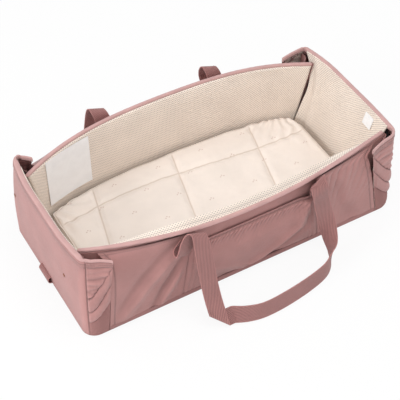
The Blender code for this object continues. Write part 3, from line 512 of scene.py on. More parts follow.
def new_piece(name, bm, slot, nodes, body="cot"):
    """Puts a finished bmesh in the scene as a piece in its slot's material, which rides on a body
    and stands for CAD nodes."""
    mesh = bpy.data.meshes.new(name)
    bm.to_mesh(mesh)
    bm.free()
    mesh.materials.append(material_of(slot))
    piece = bpy.data.objects.new(name, mesh)
    bpy.context.scene.collection.objects.link(piece)
    if body:
        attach(piece, body)
    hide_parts(*nodes)
    return piece


def select_only(piece):
    """Makes a piece the only one that operators act on."""
    bpy.ops.object.select_all(action="DESELECT")
    bpy.context.view_layer.objects.active = piece
    piece.select_set(True)


def apply_modifiers(piece):
    """Applies a piece's modifiers and smooths its faces up to a clear edge."""
    select_only(piece)
    for modifier in list(piece.modifiers):
        bpy.ops.object.modifier_apply(modifier=modifier.name)
    piece.data.shade_smooth()
    piece.data.set_sharp_from_angle(angle=radians(50))
    piece.select_set(False)


def give_thickness(piece, thickness, offset=0.0):
    """Turns a piece's open sheet into closed cloth."""
    solidify = piece.modifiers.new("thickness", "SOLIDIFY")
    solidify.thickness = thickness
    solidify.offset = offset
    apply_modifiers(piece)


def relief_of(points, steps=45):
    """How far each point of a grid stands out of its surroundings, seen from outside."""
    smooth = points.copy()
    for _ in range(steps):
        padded = np.pad(smooth, ((1, 1), (1, 1), (0, 0)), mode="edge")
        smooth = (
            padded[:-2, 1:-1] + padded[2:, 1:-1] + padded[1:-1, :-2] + padded[1:-1, 2:]
        ) / 8 + smooth / 2
    normal = np.cross(np.gradient(points, axis=0), np.gradient(points, axis=1))
    normal /= np.linalg.norm(normal, axis=2, keepdims=True) + 1e-12
    outward = np.sign(np.sum(normal * (points - np.array((0.0, 0.0, 0.1))), axis=2))
    relief = np.sum((points - smooth) * normal, axis=2) * outward
    relief[0, :] = relief[-1, :] = relief[:, 0] = relief[:, -1] = 0.0
    return relief


def start_mesh():
    """An empty bmesh with layers for its UV map, its distance from the nearest seam and the way
    along that seam."""
    bm = bmesh.new()
    values = bm.verts.layers.float
    return bm, bm.loops.layers.uv.new("UVMap"), values.new("seam_gap"), values.new("seam_run")


def no_seam(u, v):
    """Distance and way along a seam for a piece that has none: far off."""
    return 1.0, 0.0


def square_of(i, j):
    """The four corners of a grid's square."""
    return (i, j), (i + 1, j), (i + 1, j + 1), (i, j + 1)


def edge_steps(columns, rows):
    """The steps round the edge of a grid, each from one corner to the next."""
    edge = [(i, 0) for i in range(columns)] + [(columns, j) for j in range(rows)]
    edge += [(columns - i, rows) for i in range(columns)] + [(0, rows - j) for j in range(rows)]
    return zip(edge, edge[1:] + edge[:1])


def cloth_grid(columns, rows, place, flat, seam=no_seam):
    """A bmesh sheet through place(u, v), with its UV map in metres, its relief and the distance
    from and the way along the nearest seam, which seam(u, v) gives."""
    bm, uv_map, gap, run = start_mesh()
    relief = bm.verts.layers.float.new("relief")
    shape = [(i / columns, j / rows) for i in range(columns + 1) for j in range(rows + 1)]
    points = np.array([place(u, v) for u, v in shape]).reshape(columns + 1, rows + 1, 3)
    heights = relief_of(points).ravel()
    vertices = [bm.verts.new(point) for point in points.reshape(-1, 3)]
    for vertex, (u, v), height in zip(vertices, shape, heights):
        vertex[gap], vertex[run] = seam(u, v)
        vertex[relief] = height
    for i in range(columns):
        for j in range(rows):
            corners = square_of(i, j)
            face = bm.faces.new([vertices[a * (rows + 1) + b] for a, b in corners])
            for loop, (a, b) in zip(face.loops, corners):
                loop[uv_map].uv = (a / columns * flat[0], b / rows * flat[1])
    return bm


def cloth_piece(name, columns, rows, place, flat, slot, nodes, thickness=CLOTH, seam=no_seam):
    """A sewn panel of one thickness."""
    made = new_piece(name, cloth_grid(columns, rows, place, flat, seam), slot, nodes)
    give_thickness(made, thickness)
    return made


def closed_piece(name, bm, slot, nodes):
    """A piece from a closed bmesh, with its faces turned outwards."""
    bmesh.ops.recalc_face_normals(bm, faces=bm.faces)
    made = new_piece(name, bm, slot, nodes)
    apply_modifiers(made)
    return made


def padded_piece(name, columns, rows, place, depths, width, slot, nodes, seam):
    """A padded sheet closed round its edges: place(u, v, depth) gives its faces at two depths."""
    bm, uv_map, gap, run = start_mesh()
    grids = []
    for k in (0, 1):
        grid = {}
        for i in range(columns + 1):
            for j in range(rows + 1):
                u, v = i / columns, j / rows
                grid[i, j] = bm.verts.new(place(u, v, depths(u, v)[k]))
                grid[i, j][gap], grid[i, j][run] = seam(u, v)
        grids.append(grid)
    rise = {}
    for i in range(columns + 1):
        rise[i, 0] = 0.0
        for j in range(rows):
            step = (grids[0][i, j + 1].co - grids[0][i, j].co).length
            rise[i, j + 1] = rise[i, j] + step

    def add_face(corners):
        face = bm.faces.new([grids[k][i, j] for k, i, j in corners])
        for loop, (_, i, j) in zip(face.loops, corners):
            loop[uv_map].uv = (i / columns * width, rise[i, j])

    for i in range(columns):
        for j in range(rows):
            for k in (0, 1):
                add_face([(k, *corner) for corner in square_of(i, j)])
    for (a, b), (c, d) in edge_steps(columns, rows):
        add_face([(0, a, b), (0, c, d), (1, c, d), (1, a, b)])
    return closed_piece(name, bm, slot, nodes)


def swept_piece(name, columns, ring, place, flat, slot, nodes, seam):
    """A closed bar: place(u, turn) gives its surface, u along it and turn round it."""
    bm, uv_map, gap, run = start_mesh()
    rings = []
    for i in range(columns + 1):
        row = []
        for j in range(ring):
            spot = (i / columns, tau * j / ring)
            vertex = bm.verts.new(place(*spot))
            vertex[gap], vertex[run] = seam(*spot)
            row.append(vertex)
        rings.append(row)
    for i in range(columns):
        for j in range(ring):
            corners = square_of(i, j)
            face = bm.faces.new([rings[a][b % ring] for a, b in corners])
            for loop, (a, b) in zip(face.loops, corners):
                loop[uv_map].uv = (a / columns * flat[0], b / ring * flat[1])
    bm.faces.new(rings[0])
    bm.faces.new(rings[-1])
    return closed_piece(name, bm, slot, nodes)


# Materials

class Value:
    """A number that a material's nodes give: sums and products of it add Math nodes."""

    def __init__(self, shade, socket):
        self.shade = shade
        self.socket = socket

    def __add__(self, other):
        return self.shade.math("ADD", self, other)

    def __radd__(self, other):
        return self.shade.math("ADD", other, self)

    def __sub__(self, other):
        return self.shade.math("SUBTRACT", self, other)

    def __rsub__(self, other):
        return self.shade.math("SUBTRACT", other, self)

    def __mul__(self, other):
        return self.shade.math("MULTIPLY", self, other)

    def __truediv__(self, other):
        return self.shade.math("DIVIDE", self, other)

    def __pow__(self, power):
        return self.shade.math("POWER", self, power)

    def __abs__(self):
        return self.shade.math("ABSOLUTE", self)

    def __lt__(self, other):
        return self.shade.math("LESS_THAN", self, other)

    def lower_of(self, other):
        return self.shade.math("MINIMUM", self, other)

    def higher_of(self, other):
        return self.shade.math("MAXIMUM", self, other)

    def sine(self):
        return self.shade.math("SINE", self)

    def off_middle(self, pitch):
        """Distance from the middle of a step, for a number counted in steps of one pitch."""
        return (self.shade.math("FRACT", self) - 0.5) * pitch

    def rise(self, low, high):
        """0 where the number is below low, 1 where it is above high."""
        node = self.shade.add(
            "ShaderNodeMapRange", {"Value": self, "From Min": low, "From Max": high},
            interpolation_type="SMOOTHSTEP",
        )
        return Value(self.shade, node.outputs["Result"])


class Shade:
    """A material in the making: its nodes, and the colour and the relief that it has so far."""

    def __init__(self, name, colour, roughness, metallic=0.0, sheen=0.0):
        self.material = bpy.data.materials.new(name)
        self.material.use_nodes = True
        self.tree = self.material.node_tree
        self.shader = self.tree.nodes["Principled BSDF"]
        self.shader.inputs["Base Color"].default_value = (*colour, 1.0)
        self.shader.inputs["Roughness"].default_value = roughness
        self.shader.inputs["Metallic"].default_value = metallic
        self.shader.inputs["Sheen Weight"].default_value = sheen
        self.written = tuple(colour)
        self.coordinates = self.add("ShaderNodeTexCoord")
        self.colour = None
        self.normal = None

    def add(self, kind, inputs=None, **settings):
        node = self.tree.nodes.new(kind)
        for name, value in settings.items():
            setattr(node, name, value)
        for name, value in (inputs or {}).items():
            value = getattr(value, "socket", value)
            if isinstance(value, bpy.types.NodeSocket):
                self.tree.links.new(value, node.inputs[name])
            else:
                node.inputs[name].default_value = value
        return node

    def math(self, operation, a, b=0.0):
        node = self.add("ShaderNodeMath", {0: a, 1: b}, operation=operation)
        return Value(self, node.outputs[0])

    def noise(self, size, detail=3.0):
        """Noise from 0 to 1 whose patches are about one size across."""
        node = self.add(
            "ShaderNodeTexNoise",
            {"Vector": self.coordinates.outputs["Object"], "Scale": 1 / size, "Detail": detail},
        )
        return Value(self, node.outputs["Fac"])

    def places(self, space):
        """The three coordinates of a point."""
        split = self.add("ShaderNodeSeparateXYZ", {0: self.coordinates.outputs[space]})
        return [Value(self, output) for output in split.outputs]

    def uv(self):
        return self.places("UV")[:2]

    def wave(self, value, pitch):
        """A sine along a value, from -1 to 1."""
        return (value * (tau / pitch)).sine()

    def attribute(self, name):
        return Value(self, self.add("ShaderNodeAttribute", attribute_name=name).outputs["Fac"])

    def tint(self, factor):
        """The material's written colour times a factor."""
        return tuple(min(channel * factor, 1.0) for channel in self.written) + (1.0,)

    def mix(self, share, a, b):
        return self.add("ShaderNodeMix", {0: share, 6: a, 7: b}, data_type="RGBA").outputs[2]

    def vary(self, share, low, high):
        """Starts the colour: one tint of it where the share is 0, another where it is 1."""
        self.colour = self.mix(share, self.tint(low), self.tint(high))

    def lay_marks_and_painted_light(self, share, amount, colour):
        """Lays a colour, or a tint of the written one, over the colour so far: real marks such as stitches
        and print, and painted light and shade.
        """
        over = colour if isinstance(colour, tuple) else self.tint(colour)
        self.colour = self.mix(share * amount, self.colour, over)

    def emboss(self, height, distance):
        """Adds to the relief so far."""
        inputs = {"Height": height, "Distance": distance, "Strength": 1.0}
        if self.normal:
            inputs["Normal"] = self.normal
        self.normal = self.add("ShaderNodeBump", inputs).outputs["Normal"]

    def finish(self, roughness=None):
        self.tree.links.new(self.colour, self.shader.inputs["Base Color"])
        self.tree.links.new(self.normal, self.shader.inputs["Normal"])
        if roughness is not None:
            self.tree.links.new(roughness.socket, self.shader.inputs["Roughness"])
        return self.material


def stitch_mask(shade, distance, width=0.0011, cover=0.68):
    """1 on the stitches of a sewn line that lies a distance from the seam."""
    on_line = abs(shade.attribute("seam_gap") - distance) < width / 2
    beat = shade.math("FRACT", shade.attribute("seam_run") / sizes().stitch_length)
    return on_line * (beat < cover)


def woven_material(name, colour, roughness, weave=0.0007):
    """Matt woven cloth: a plain weave, soft patches of colour, stitches beside its seams, and painted shade
    and highlight that follow its folds and seams.
    """
    shade = Shade(name, colour, roughness, sheen=0.25)
    shade.shader.inputs["Sheen Roughness"].default_value = 0.45
    u, v = shade.uv()
    patches = shade.noise(0.05, 4.0)
    shade.vary(patches.rise(0.3, 0.7), 0.93, 1.06)
    shade.lay_marks_and_painted_light(shade.noise(0.0012, 2.0).rise(0.35, 0.75), 0.22, 1.22)
    relief = shade.attribute("relief")
    # Painted shade in the fold valleys and painted highlight on the fold ridges, read from the relief.
    shade.lay_marks_and_painted_light(relief.rise(0.0, -0.0014), 0.55, 0.55)
    shade.lay_marks_and_painted_light(relief.rise(0.0002, 0.0016), 0.50, 1.40)
    gap = shade.attribute("seam_gap")
    # Darker near each seam: the sewn joins, and at the top of the long walls and side panels a painted
    # shadow under the rim tape.
    shade.lay_marks_and_painted_light(1.0 - gap.rise(0.0, 0.0020), 0.75, 0.38)
    shade.lay_marks_and_painted_light(gap.rise(0.0008, 0.002) * gap.rise(0.007, 0.003), 0.12, 1.25)
    stitches = stitch_mask(shade, 0.0022)
    shade.lay_marks_and_painted_light(stitches, 0.55, 0.55)
    shade.emboss(shade.wave(u, weave) * shade.wave(v, weave), 0.00006)
    shade.emboss(shade.noise(0.011, 4.0), 0.0007)
    shade.emboss(stitches, 0.0004)
    return shade.finish((roughness - 0.06) + patches * 0.12)


def binding_material():
    """Folded tape: fine cross ribs, a stitched line along each edge, and a darker lower edge, painted shade
    where the tape meets the cloth below.
    """
    shade = Shade("binding_tape", colours().binding, 0.72, sheen=0.3)
    u, _ = shade.uv()
    shade.vary(shade.noise(0.03).rise(0.3, 0.7), 0.94, 1.05)
    # Painted shade along the tape's lower edge, where it meets the cloth below.
    shade.lay_marks_and_painted_light(1.0 - shade.attribute("seam_gap").rise(0.0, 0.0012), 0.6, 0.45)
    stitches = stitch_mask(shade, 0.0020, 0.0010, 0.72)
    shade.lay_marks_and_painted_light(stitches, 0.7, 0.48)
    shade.emboss(shade.wave(u, 0.0009), 0.00005)
    shade.emboss(shade.noise(0.006), 0.0006)
    shade.emboss(stitches, 0.0004)
    return shade.finish()


def webbing_material():
    """Ribbed webbing: slanted twill ribs across its width with painted shade between them, and lighter along
    both edges.
    """
    shade = Shade("webbing_ribs", colours().webbing, 0.62, sheen=0.2)
    u, v = shade.uv()
    across = shade.wave(u + v * 0.22, WEBBING_WIDTH / WEBBING_RIBS)
    picks = shade.wave(v + u * 0.5, 0.0021)
    ribs = across * 0.7 + picks * 0.3
    shade.vary(shade.noise(0.04).rise(0.3, 0.7), 1.02, 1.12)
    # Painted shade in the grooves between the ribs.
    shade.lay_marks_and_painted_light(ribs.rise(0.30, -0.55), 0.78, 0.40)
    # Lighter along both edges.
    shade.lay_marks_and_painted_light(u.lower_of(WEBBING_WIDTH - u).rise(0.0018, 0.0008), 0.5, 1.30)
    shade.emboss(ribs, 0.0005)
    return shade.finish()


def mesh_material():
    """Spacer mesh: staggered rows of oval holes, darkened with painted shade in their depths, and a knitted
    face.
    """
    shade = Shade("spacer_mesh", colours().mesh, 0.85, sheen=0.2)
    pitch = sizes().mesh_pitch
    rows = pitch * 1.05
    u, v = shade.uv()
    distances = []
    for shift in (0.0, 0.5):
        across = (u / pitch + shift).off_middle(pitch)
        along = (v / rows + shift).off_middle(rows)
        distances.append(shade.math("SQRT", across**2.0 + along**2.0))
    hole = distances[0].lower_of(distances[1]).rise(0.0013, 0.0007)
    shade.vary(shade.noise(0.06).rise(0.3, 0.7), 1.10, 1.18)
    # The holes are painted dark: painted shade inside them.
    shade.lay_marks_and_painted_light(hole, 0.70 + shade.noise(0.05) * 0.3, 0.47)
    shade.lay_marks_and_painted_light(1.0 - shade.attribute("seam_gap").rise(0.0, 0.002), 0.6, 0.45)
    shade.emboss(1.0 - hole, 0.0012)
    shade.emboss(shade.noise(0.0016, 2.0), 0.0003)
    return shade.finish()


def quilt_distance(x, y):
    """Distance from the nearest sewn channel in a material, as quilt_lines gives it."""
    level = x - (y - QUILT_ROW) * QUILT_SLANT - QUILT_SHIFT
    column = abs(level).lower_of(abs(abs(level) - QUILT_COLUMN))
    wander = (x * 9.0 - 0.6).sine() * QUILT_WANDER
    return column.lower_of(abs(abs(y + wander) - QUILT_ROW))


def print_motif(shade, x, y, pitch_x=0.112, pitch_y=0.098):
    """1 on the dots of a sparse print: groups of three dots in staggered rows."""
    motif = None
    for shift in (0.0, 0.5):
        off_x = ((x + 1.0) / pitch_x + shift).off_middle(pitch_x)
        off_y = ((y + 1.0) / pitch_y + shift).off_middle(pitch_y)
        for dot_x, dot_y in ((-0.0042, 0.0), (0.0, 0.0034), (0.0042, 0.0)):
            away = shade.math("SQRT", (off_x - dot_x) ** 2.0 + (off_y - dot_y) ** 2.0)
            dot = away.rise(0.0021, 0.0014)
            motif = dot if motif is None else motif.higher_of(dot)
    return motif


def mattress_material():
    """Cream jersey with a sparse generic print of small three-dot motifs, and painted shade along its sewn
    channels and edge seam.
    """
    shade = Shade("mattress_jersey", colours().mattress, 0.82, sheen=0.35)
    x, y, _ = shade.places("Object")
    shade.vary(shade.noise(0.07).rise(0.3, 0.7), 0.97, 1.03)
    shade.lay_marks_and_painted_light(print_motif(shade, x, y), 0.40, PRINT_COLOUR)
    # Painted shade along the sewn channels on top and along the edge seam.
    seam = quilt_distance(x, y).rise(0.0030, 0.0002) * shade.attribute("on_top")
    seam = seam.higher_of(shade.attribute("seam_gap").rise(0.0024, 0.0))
    shade.lay_marks_and_painted_light(seam, 0.50, QUILT_CHANNEL_SHADE_COLOUR)
    shade.emboss(shade.wave(x, 0.0011) * shade.wave(y, 0.0014), 0.00007)
    shade.emboss(shade.noise(0.02), 0.0012)
    return shade.finish()


def label_material():
    """Smooth satin tape with a faint cross grain."""
    shade = Shade("label_satin", colours().label, 0.45)
    u, _ = shade.uv()
    shade.vary(shade.noise(0.02).rise(0.3, 0.7), 0.97, 1.02)
    shade.emboss(shade.wave(u, 0.0008) + shade.noise(0.004, 2.0), 0.00005)
    return shade.finish()


def board_material():
    """Grained plastic board."""
    shade = Shade("stiff_board", colours().board, 0.6)
    shade.vary(shade.noise(0.01), 0.8, 1.3)
    shade.emboss(shade.noise(0.0015), 0.0002)
    return shade.finish()


def stud_material():
    """Satin copper with fine scratches."""
    shade = Shade("satin_copper", colours().stud, 0.34, metallic=1.0)
    shade.vary(shade.noise(0.002), 0.50, 0.85)
    shade.emboss(shade.noise(0.0006), 0.00004)
    return shade.finish(0.24 + shade.noise(0.001) * 0.25)


def knit_material():
    """Ribbed knit: narrow upright ribs with small loops between, and painted shade in the grooves between
    the ribs.
    """
    shade = Shade("ribbed_knit", colours().shell, 0.8)
    u, _ = shade.uv()
    ribs = shade.wave(shade.attribute("height"), KNIT_PITCH) + shade.wave(u, 0.0024) * 0.4
    # Darker in the grooves between the ribs: painted shade.
    shade.vary(ribs.rise(-1.2, 0.6), 0.62, 0.98)
    shade.emboss(ribs, 0.0003)
    return shade.finish()


MAKERS = {
    "shell_cloth": lambda: woven_material("shell_cloth_weave", colours().shell, 0.62),
    "base_cloth": lambda: woven_material("base_cloth_weave", colours().base, 0.66, weave=0.0009),
    "knit": knit_material,
    "binding": binding_material,
    "webbing": webbing_material,
    "mesh_lining": mesh_material,
    "mattress_cover": mattress_material,
    "label": label_material,
    "board": board_material,
    "stud": stud_material,
}
made_materials = {}


def material_of(name):
    """The finish of a material slot, or of the wings' knitted foot, made on first use."""
    if name not in made_materials:
        made_materials[name] = MAKERS[name]()
    return made_materials[name]


# Sewn pieces

def make_base():
    """Base cloth under the carrycot and the darker hem along each long side."""
    steps = 10
    edge = (
        (0.0012, 0.0), (0.0003, 0.0003), (0.0, BASE_CLOTH / 2), (0.0003, BASE_CLOTH - 0.0002),
        (0.0012, BASE_CLOTH),
    )

    def outline(inset, z):
        radius = CORNER_RADIUS - inset
        points = []
        for k in range(4):
            cx = (HALF_LENGTH - CORNER_RADIUS) * (1 if k in (0, 3) else -1)
            cy = (HALF_WIDTH - CORNER_RADIUS) * (1 if k in (0, 1) else -1)
            for i in range(steps + 1):
                turn = pi / 2 * (k + i / steps)
                points.append(Vector((cx + radius * cos(turn), cy + radius * sin(turn), z)))
        return points

    bm, uv_map, gap, _ = start_mesh()
    rings = [[bm.verts.new(point) for point in outline(*layer)] for layer in edge]
    count = len(rings[0])
    for low, high in zip(rings, rings[1:]):
        for j in range(count):
            k = (j + 1) % count
            bm.faces.new((low[j], low[k], high[k], high[j]))
    bm.faces.new(list(reversed(rings[0])))
    bm.faces.new(rings[-1])
    for face in bm.faces:
        for loop in face.loops:
            loop[uv_map].uv = (loop.vert.co.x, loop.vert.co.y)
    for vertex in bm.verts:
        vertex[gap] = 1.0
    base = closed_piece("base_cloth", bm, "base_cloth", ["base_fabric"])
    for side in SIDES:
        make_base_hem(side)


def make_base_hem(side):
    """The hem strip along the foot of one long side: a folded tape with a soft outer face."""
    length = panel_outer_end(HEAD, side, 0) + panel_outer_end(FOOT, side, 0)

    def place(u, v):
        height = FLOOR_GAP + (HEM_HEIGHT + HEM_TURN) * v
        head, foot = -panel_outer_end(HEAD, side, height), panel_outer_end(FOOT, side, height)
        x = head + (foot - head) * u
        swell = 0.0010 * sin(pi * v) + 0.0003 * crinkle(2, x / 0.02, v)
        return Vector((x, side.sign * (PANEL_PLANE + swell), height))

    def seam(u, v):
        return (1 - v) * HEM_HEIGHT, u * length

    hem = cloth_piece(
        f"{side.name}_hem_strip", 140, 6, place, (length, HEM_HEIGHT), "base_cloth",
        thickness=0.0016, seam=seam, nodes=[f"{side.name}_base_hem"],
    )


def make_walls():
    """Outer cloth and padded mesh lining of each long wall."""
    for side in SIDES:
        make_wall_shell(side)
        make_wall_lining(side)


def make_wall_shell(side):
    """The outer cloth of a long wall, drawn in under the rim tape."""
    length, height = 2 * WALL_HALF_LENGTH, side.rim_length

    def place(u, v):
        x = wall_station(u)
        x = wall_spread(side, x, wall_rise(side, x, 0.0, v))
        up = wall_rise(side, x, 0.0, v)
        soft = 0.0010 * crinkle(1, x / 0.03, up / 0.05) * min(v * 4, 1)
        pinch = 0.0020 * exp(-(1 - v) * height / 0.005)
        return wall_point(side, x, up, SHELL_DEPTH / 2 + 0.0006 + soft + pinch)

    def seam(u, v, most_lean=0.68):
        # The rim distance is shrunk and starts where the cloth comes into view below the leaning rim, so the
        # cloth's seam darkening lays a painted shadow under the rim tape.
        lean = wall_section(side, wall_station(u), height)[2]
        turned = side.arc * (1 - most_lean / lean) if lean > most_lean else 0.0
        rim = max((1 - v) * height - turned, 0) * 0.45
        return min(min(u, 1 - u) * length, rim), (v * height if rim > 0.02 else u * length)

    shell = cloth_piece(
        f"{side.name}_shell", 150, 50, place, (length, height), "shell_cloth",
        thickness=THIN_CLOTH, seam=seam, nodes=[f"{side.name}_wall_shell"],
    )


def make_wall_lining(side):
    """The padded mesh of a long wall: it is thin along its sewn edges and swells between them."""
    length, height = 2 * WALL_HALF_LENGTH, side.rim_length

    def place(u, v, depth):
        x = wall_station(u)
        x = wall_spread(side, x, wall_rise(side, x, MESH_LIP, v))
        up = wall_rise(side, x, MESH_LIP, v)
        return wall_point(side, x, up, depth)

    def depths(u, v):
        rim = (1 - v) * (height + MESH_LIP) - MESH_LIP
        swell = smooth_rise(rim, -0.002, 0.016)
        end = min(u, 1 - u) * length
        edge = round_edge(end)
        waves = 0.0012 * crinkle(22, u * 9, v * 2.5) * swell
        x = WALL_HALF_LENGTH * (2 * u - 1)
        lean = wall_section(side, x, height)[2]
        roll = side.roll * smooth_rise(lean, 0.05, 1.0)
        roll *= smooth_rise(rim, -0.0015, 0.009) * smooth_rise(rim, 0.060, 0.014)
        inner = MESH_EDGE_DEPTH + (LINING_DEPTH + 0.0006 - MESH_EDGE_DEPTH) * swell + waves + roll
        outer = SHELL_DEPTH + 0.0016 + 0.0016 * (1 - swell)
        middle = (inner + outer) / 2
        half = (inner - outer) / 2 * (0.3 + 0.7 * edge)
        return middle + half, middle - half

    def seam(u, v):
        rim = abs((1 - v) * (height + MESH_LIP) - MESH_LIP - 0.0042)
        return min(rim, min(u, 1 - u) * length), u * length

    lining = padded_piece(
        f"{side.name}_mesh", 170, 60, place, depths, length, "mesh_lining",
        seam=seam, nodes=[f"{side.name}_wall_foam", f"{side.name}_wall_lining"],
    )


def make_rim_bindings():
    """Folded tape over the rim of each long wall, puckered a little at its stitches."""
    half_depth, half_height = 0.0044, 0.0038
    length = 2 * WALL_HALF_LENGTH
    for side in SIDES:

        def place(u, turn):
            x = wall_spread(side, wall_station(u), side.rim_length)
            pucker = 1 + 0.09 * crinkle(3, x / 0.006, turn)
            tip = smooth_rise(min(u, 1 - u) * length, -0.003, 0.006)
            depth, up = superellipse(turn, half_depth * pucker * tip, half_height * pucker * tip)
            lean = wall_section(side, x, side.rim_length)[2]
            tilt = smooth_rise(lean, 0.15, 1.0) if side.roll else 0.0
            foot = rim_length(side, x) + 0.0026 + 0.0030 * tilt
            return wall_point(side, x, foot + up, 0.0062 - 0.0022 * tilt + depth)

        def seam(u, turn):
            up = superellipse(turn, half_depth, half_height)[1]
            return up + half_height, u * length

        tape = swept_piece(
            f"{side.name}_rim_tape", 300, 24, place, (length, 0.030), "binding",
            seam=seam, nodes=[f"{side.name}_rim_binding"],
        )


def pocket_out(share, v):
    """How far a pocket's cloth stands off the side, share from -1 to 1 along it."""
    swell = 0.80 * POCKET_PUFF * sqrt(max(1 - share**2, 0)) * sin(pi * v) ** 0.8
    return PANEL_PLANE + swell + 0.0026 * v


def pocket_folds(x, height, below):
    """Relief of a pocket: short slanted gathers under its seam, which fade downwards, a long fold
    that hangs from the foot side's root, and creases up the side seams."""
    if below <= 0:
        return 0.0008 * gathered(x + 0.8 * below, POCKET_GATHER_PITCH, 5) + 0.0006
    slanted = x + (0.8 + 0.5 * crinkle(5, x / 0.04)) * below
    reach = 0.008 + 0.016 * abs(crinkle(4, x / 0.018))
    gathers = gathered(slanted, POCKET_GATHER_PITCH, 5) * exp(-below / reach)
    gathers *= smooth_rise(below, 0.0, 0.003)
    long_line = ((-0.02, 0.012), (0.03, 0.030), (0.115, 0.080), (0.136, 0.140))
    long_fold = fold_along(x, height, long_line, 0.013)
    low_fold = fold_along(x, height, ((-0.15, 0.145), (-0.11, 0.070), (-0.03, 0.030)), 0.014)
    from_side = POCKET_HALF_LENGTH - POCKET_TAPER * height / POCKET_TOP - abs(x)
    ripples = gathered(from_side, 0.011, 6) * exp(-from_side / 0.020)
    soft = crinkle(6, x / 0.045, height / 0.05)
    return (
        sizes().gather_depth * 3.2 * gathers
        + sizes().fold_depth * (0.85 * long_fold + 0.45 * low_fold + 0.5 * ripples + 0.25 * soft)
    )


def make_pockets():
    """Gathered pocket on each long side and the smooth band above its gathering seam."""
    top = POCKET_TOP + POCKET_BAND
    length = 2 * POCKET_HALF_LENGTH

    def seam(u, v):
        height = PANEL_FOOT + (top - PANEL_FOOT) * v
        band, ends = abs(height - POCKET_TOP), min(u, 1 - u) * length
        return min(band, ends), (u * length if band < ends else height)

    for side in SIDES:

        def place(u, v):
            share = 2 * u - 1
            height = PANEL_FOOT + (top - PANEL_FOOT) * v
            taper = min((height - PANEL_FOOT) / (POCKET_TOP - PANEL_FOOT), 1)
            x = side.shift + pocket_half(taper) * share
            below = POCKET_TOP - height
            soft_ends = min(1.0, 8 * (1 - abs(share)))
            out = pocket_out(share, taper)
            wall_out = wall_section(side, x, height)[0]
            closed = smooth_rise(height, POCKET_TOP - 0.045, top)
            closed *= 1 - smooth_rise(share, 0.72, 0.88)
            out += (wall_out + 0.0022 - out) * closed
            out += pocket_folds(x - side.shift, height, below) * soft_ends
            return Vector((x, side.sign * max(out, wall_out + OFF_WALL), height))

        pocket = cloth_piece(
            f"{side.name}_pocket_cloth", 220, 70, place, (length * 1.05, top - PANEL_FOOT),
            "shell_cloth", seam=seam,
            nodes=[f"{side.name}_pocket", f"{side.name}_pocket_elastic"],
        )


HEAD_PANEL_FOLDS = (
    (1.15, 0.0095, ((-0.138, 0.150), (-0.165, 0.105), (-0.2035, 0.048), (-0.225, 0.010))),
    (1.0, 0.015, ((-0.160, 0.165), (-0.205, 0.135), (-0.2463, 0.097), (-0.3148, 0.019))),
    (0.55, 0.007, ((-0.150, 0.140), (-0.160, 0.080), (-0.170, 0.010))),
)


def panel_folds(end, x, height, u, v):
    """Depth of a side panel's folds: gathers under the rim at the foot end, and long folds that run
    down from the handle's root at the head end."""
    deep = sizes().fold_depth
    level = sin(pi * min(max(v * 0.94 + 0.06, 0), 1)) ** 0.5
    soft = 0.35 * crinkle(8, x / 0.05, height / 0.06)
    if end is FOOT:
        fall = (1 - v) * SIDE_PANEL_LENGTH
        spread = x + 0.25 * (x - 0.16) * fall / 0.05
        uneven = 0.35 + 1.1 * abs(crinkle(19, x / 0.035, fall / 0.09))
        gathers = gathered(spread, 0.022, 7) * exp(-fall / 0.060)
        gathers *= min(1, 12 * (1 - v) + 0.3)
        ripples = gathered(x - 0.35 * fall, 0.019, 8) * exp(-u * 4) * level
        long_fold = fold_along(x, height, ((0.225, 0.17), (0.245, 0.09), (0.29, 0.02)), 0.014)
        folds = 0.35 * uneven * ripples + 0.5 * long_fold + soft
        return sizes().gather_depth * 2.0 * uneven * gathers + deep * folds * level
    folds = sum(deep_share * fold_along(x, height, line, width)
                for deep_share, width, line in HEAD_PANEL_FOLDS)
    root = exp(-hypot(x + 0.142, height - 0.150) / 0.020)
    crumple = 0.9 * crinkle(9, x / 0.008, height / 0.012) * root
    return deep * (folds + soft + crumple) * level * min(1, 5 * (1 - u))


def make_side_panels():
    """Outer side panels beside the pockets, with their folds and stitched outer hem."""
    for side in SIDES:
        for end in ENDS:
            inner_top = end.sign * side.shift + pocket_half(1) + GAP
            length = panel_outer_end(end, side, 0) - inner_top

            def place(u, v):
                x_rim = end.sign * (inner_top + (RIM_HALF_LENGTH - inner_top) * u)
                rim = wall_point(side, x_rim, rim_length(side, x_rim) - 0.0015, -0.0028)
                height = PANEL_FOOT + (rim.z - PANEL_FOOT) * v
                up_pocket = min((height - PANEL_FOOT) / (POCKET_TOP - PANEL_FOOT), 1)
                inner = end.sign * side.shift + pocket_half(up_pocket) + GAP
                x = end.sign * (inner + (panel_outer_end(end, side, height) - inner) * u)
                shelf = v ** (3.0 + 4.0 * u)
                near_pocket = min(1.0, 6 * u) if v < 0.8 else 1.0
                fold = panel_folds(end, x - side.shift, height, u, v) * near_pocket
                fold *= smooth_rise(1 - v, 0.0, 0.012)
                plane = PANEL_PLANE + 0.0012
                out = plane + (abs(rim.y) - plane) * shelf + fold
                x += (rim.x - x) * smooth_rise(v, 0.90, 1.0) * 0.6
                wall_out = wall_section(side, x, min(height, side.rim_length - side.arc))[0]
                least = wall_out + OFF_WALL if v < 0.85 else 0
                return Vector((x, side.sign * max(out, least), height))

            def seam(u, v):
                # The rim distance is scaled down, widening the cloth's seam darkening into a painted shadow
                # under the rim tape along the panel's top.
                from_hem, rim = (1 - u) * length, (1 - v) * 0.09
                hem = abs(from_hem - 0.0115) if from_hem < 0.03 else 1.0
                return min(hem, rim), (v * 0.17 if hem < rim else u * length)

            panel = cloth_piece(
                f"{side.name}_{end.name}_side_cloth", 120, 80, place,
                (length, SIDE_PANEL_LENGTH), "shell_cloth", seam=seam,
                nodes=[f"{side.name}_{end.name}_panel"],
            )
            length * SIDE_PANEL_GATHER


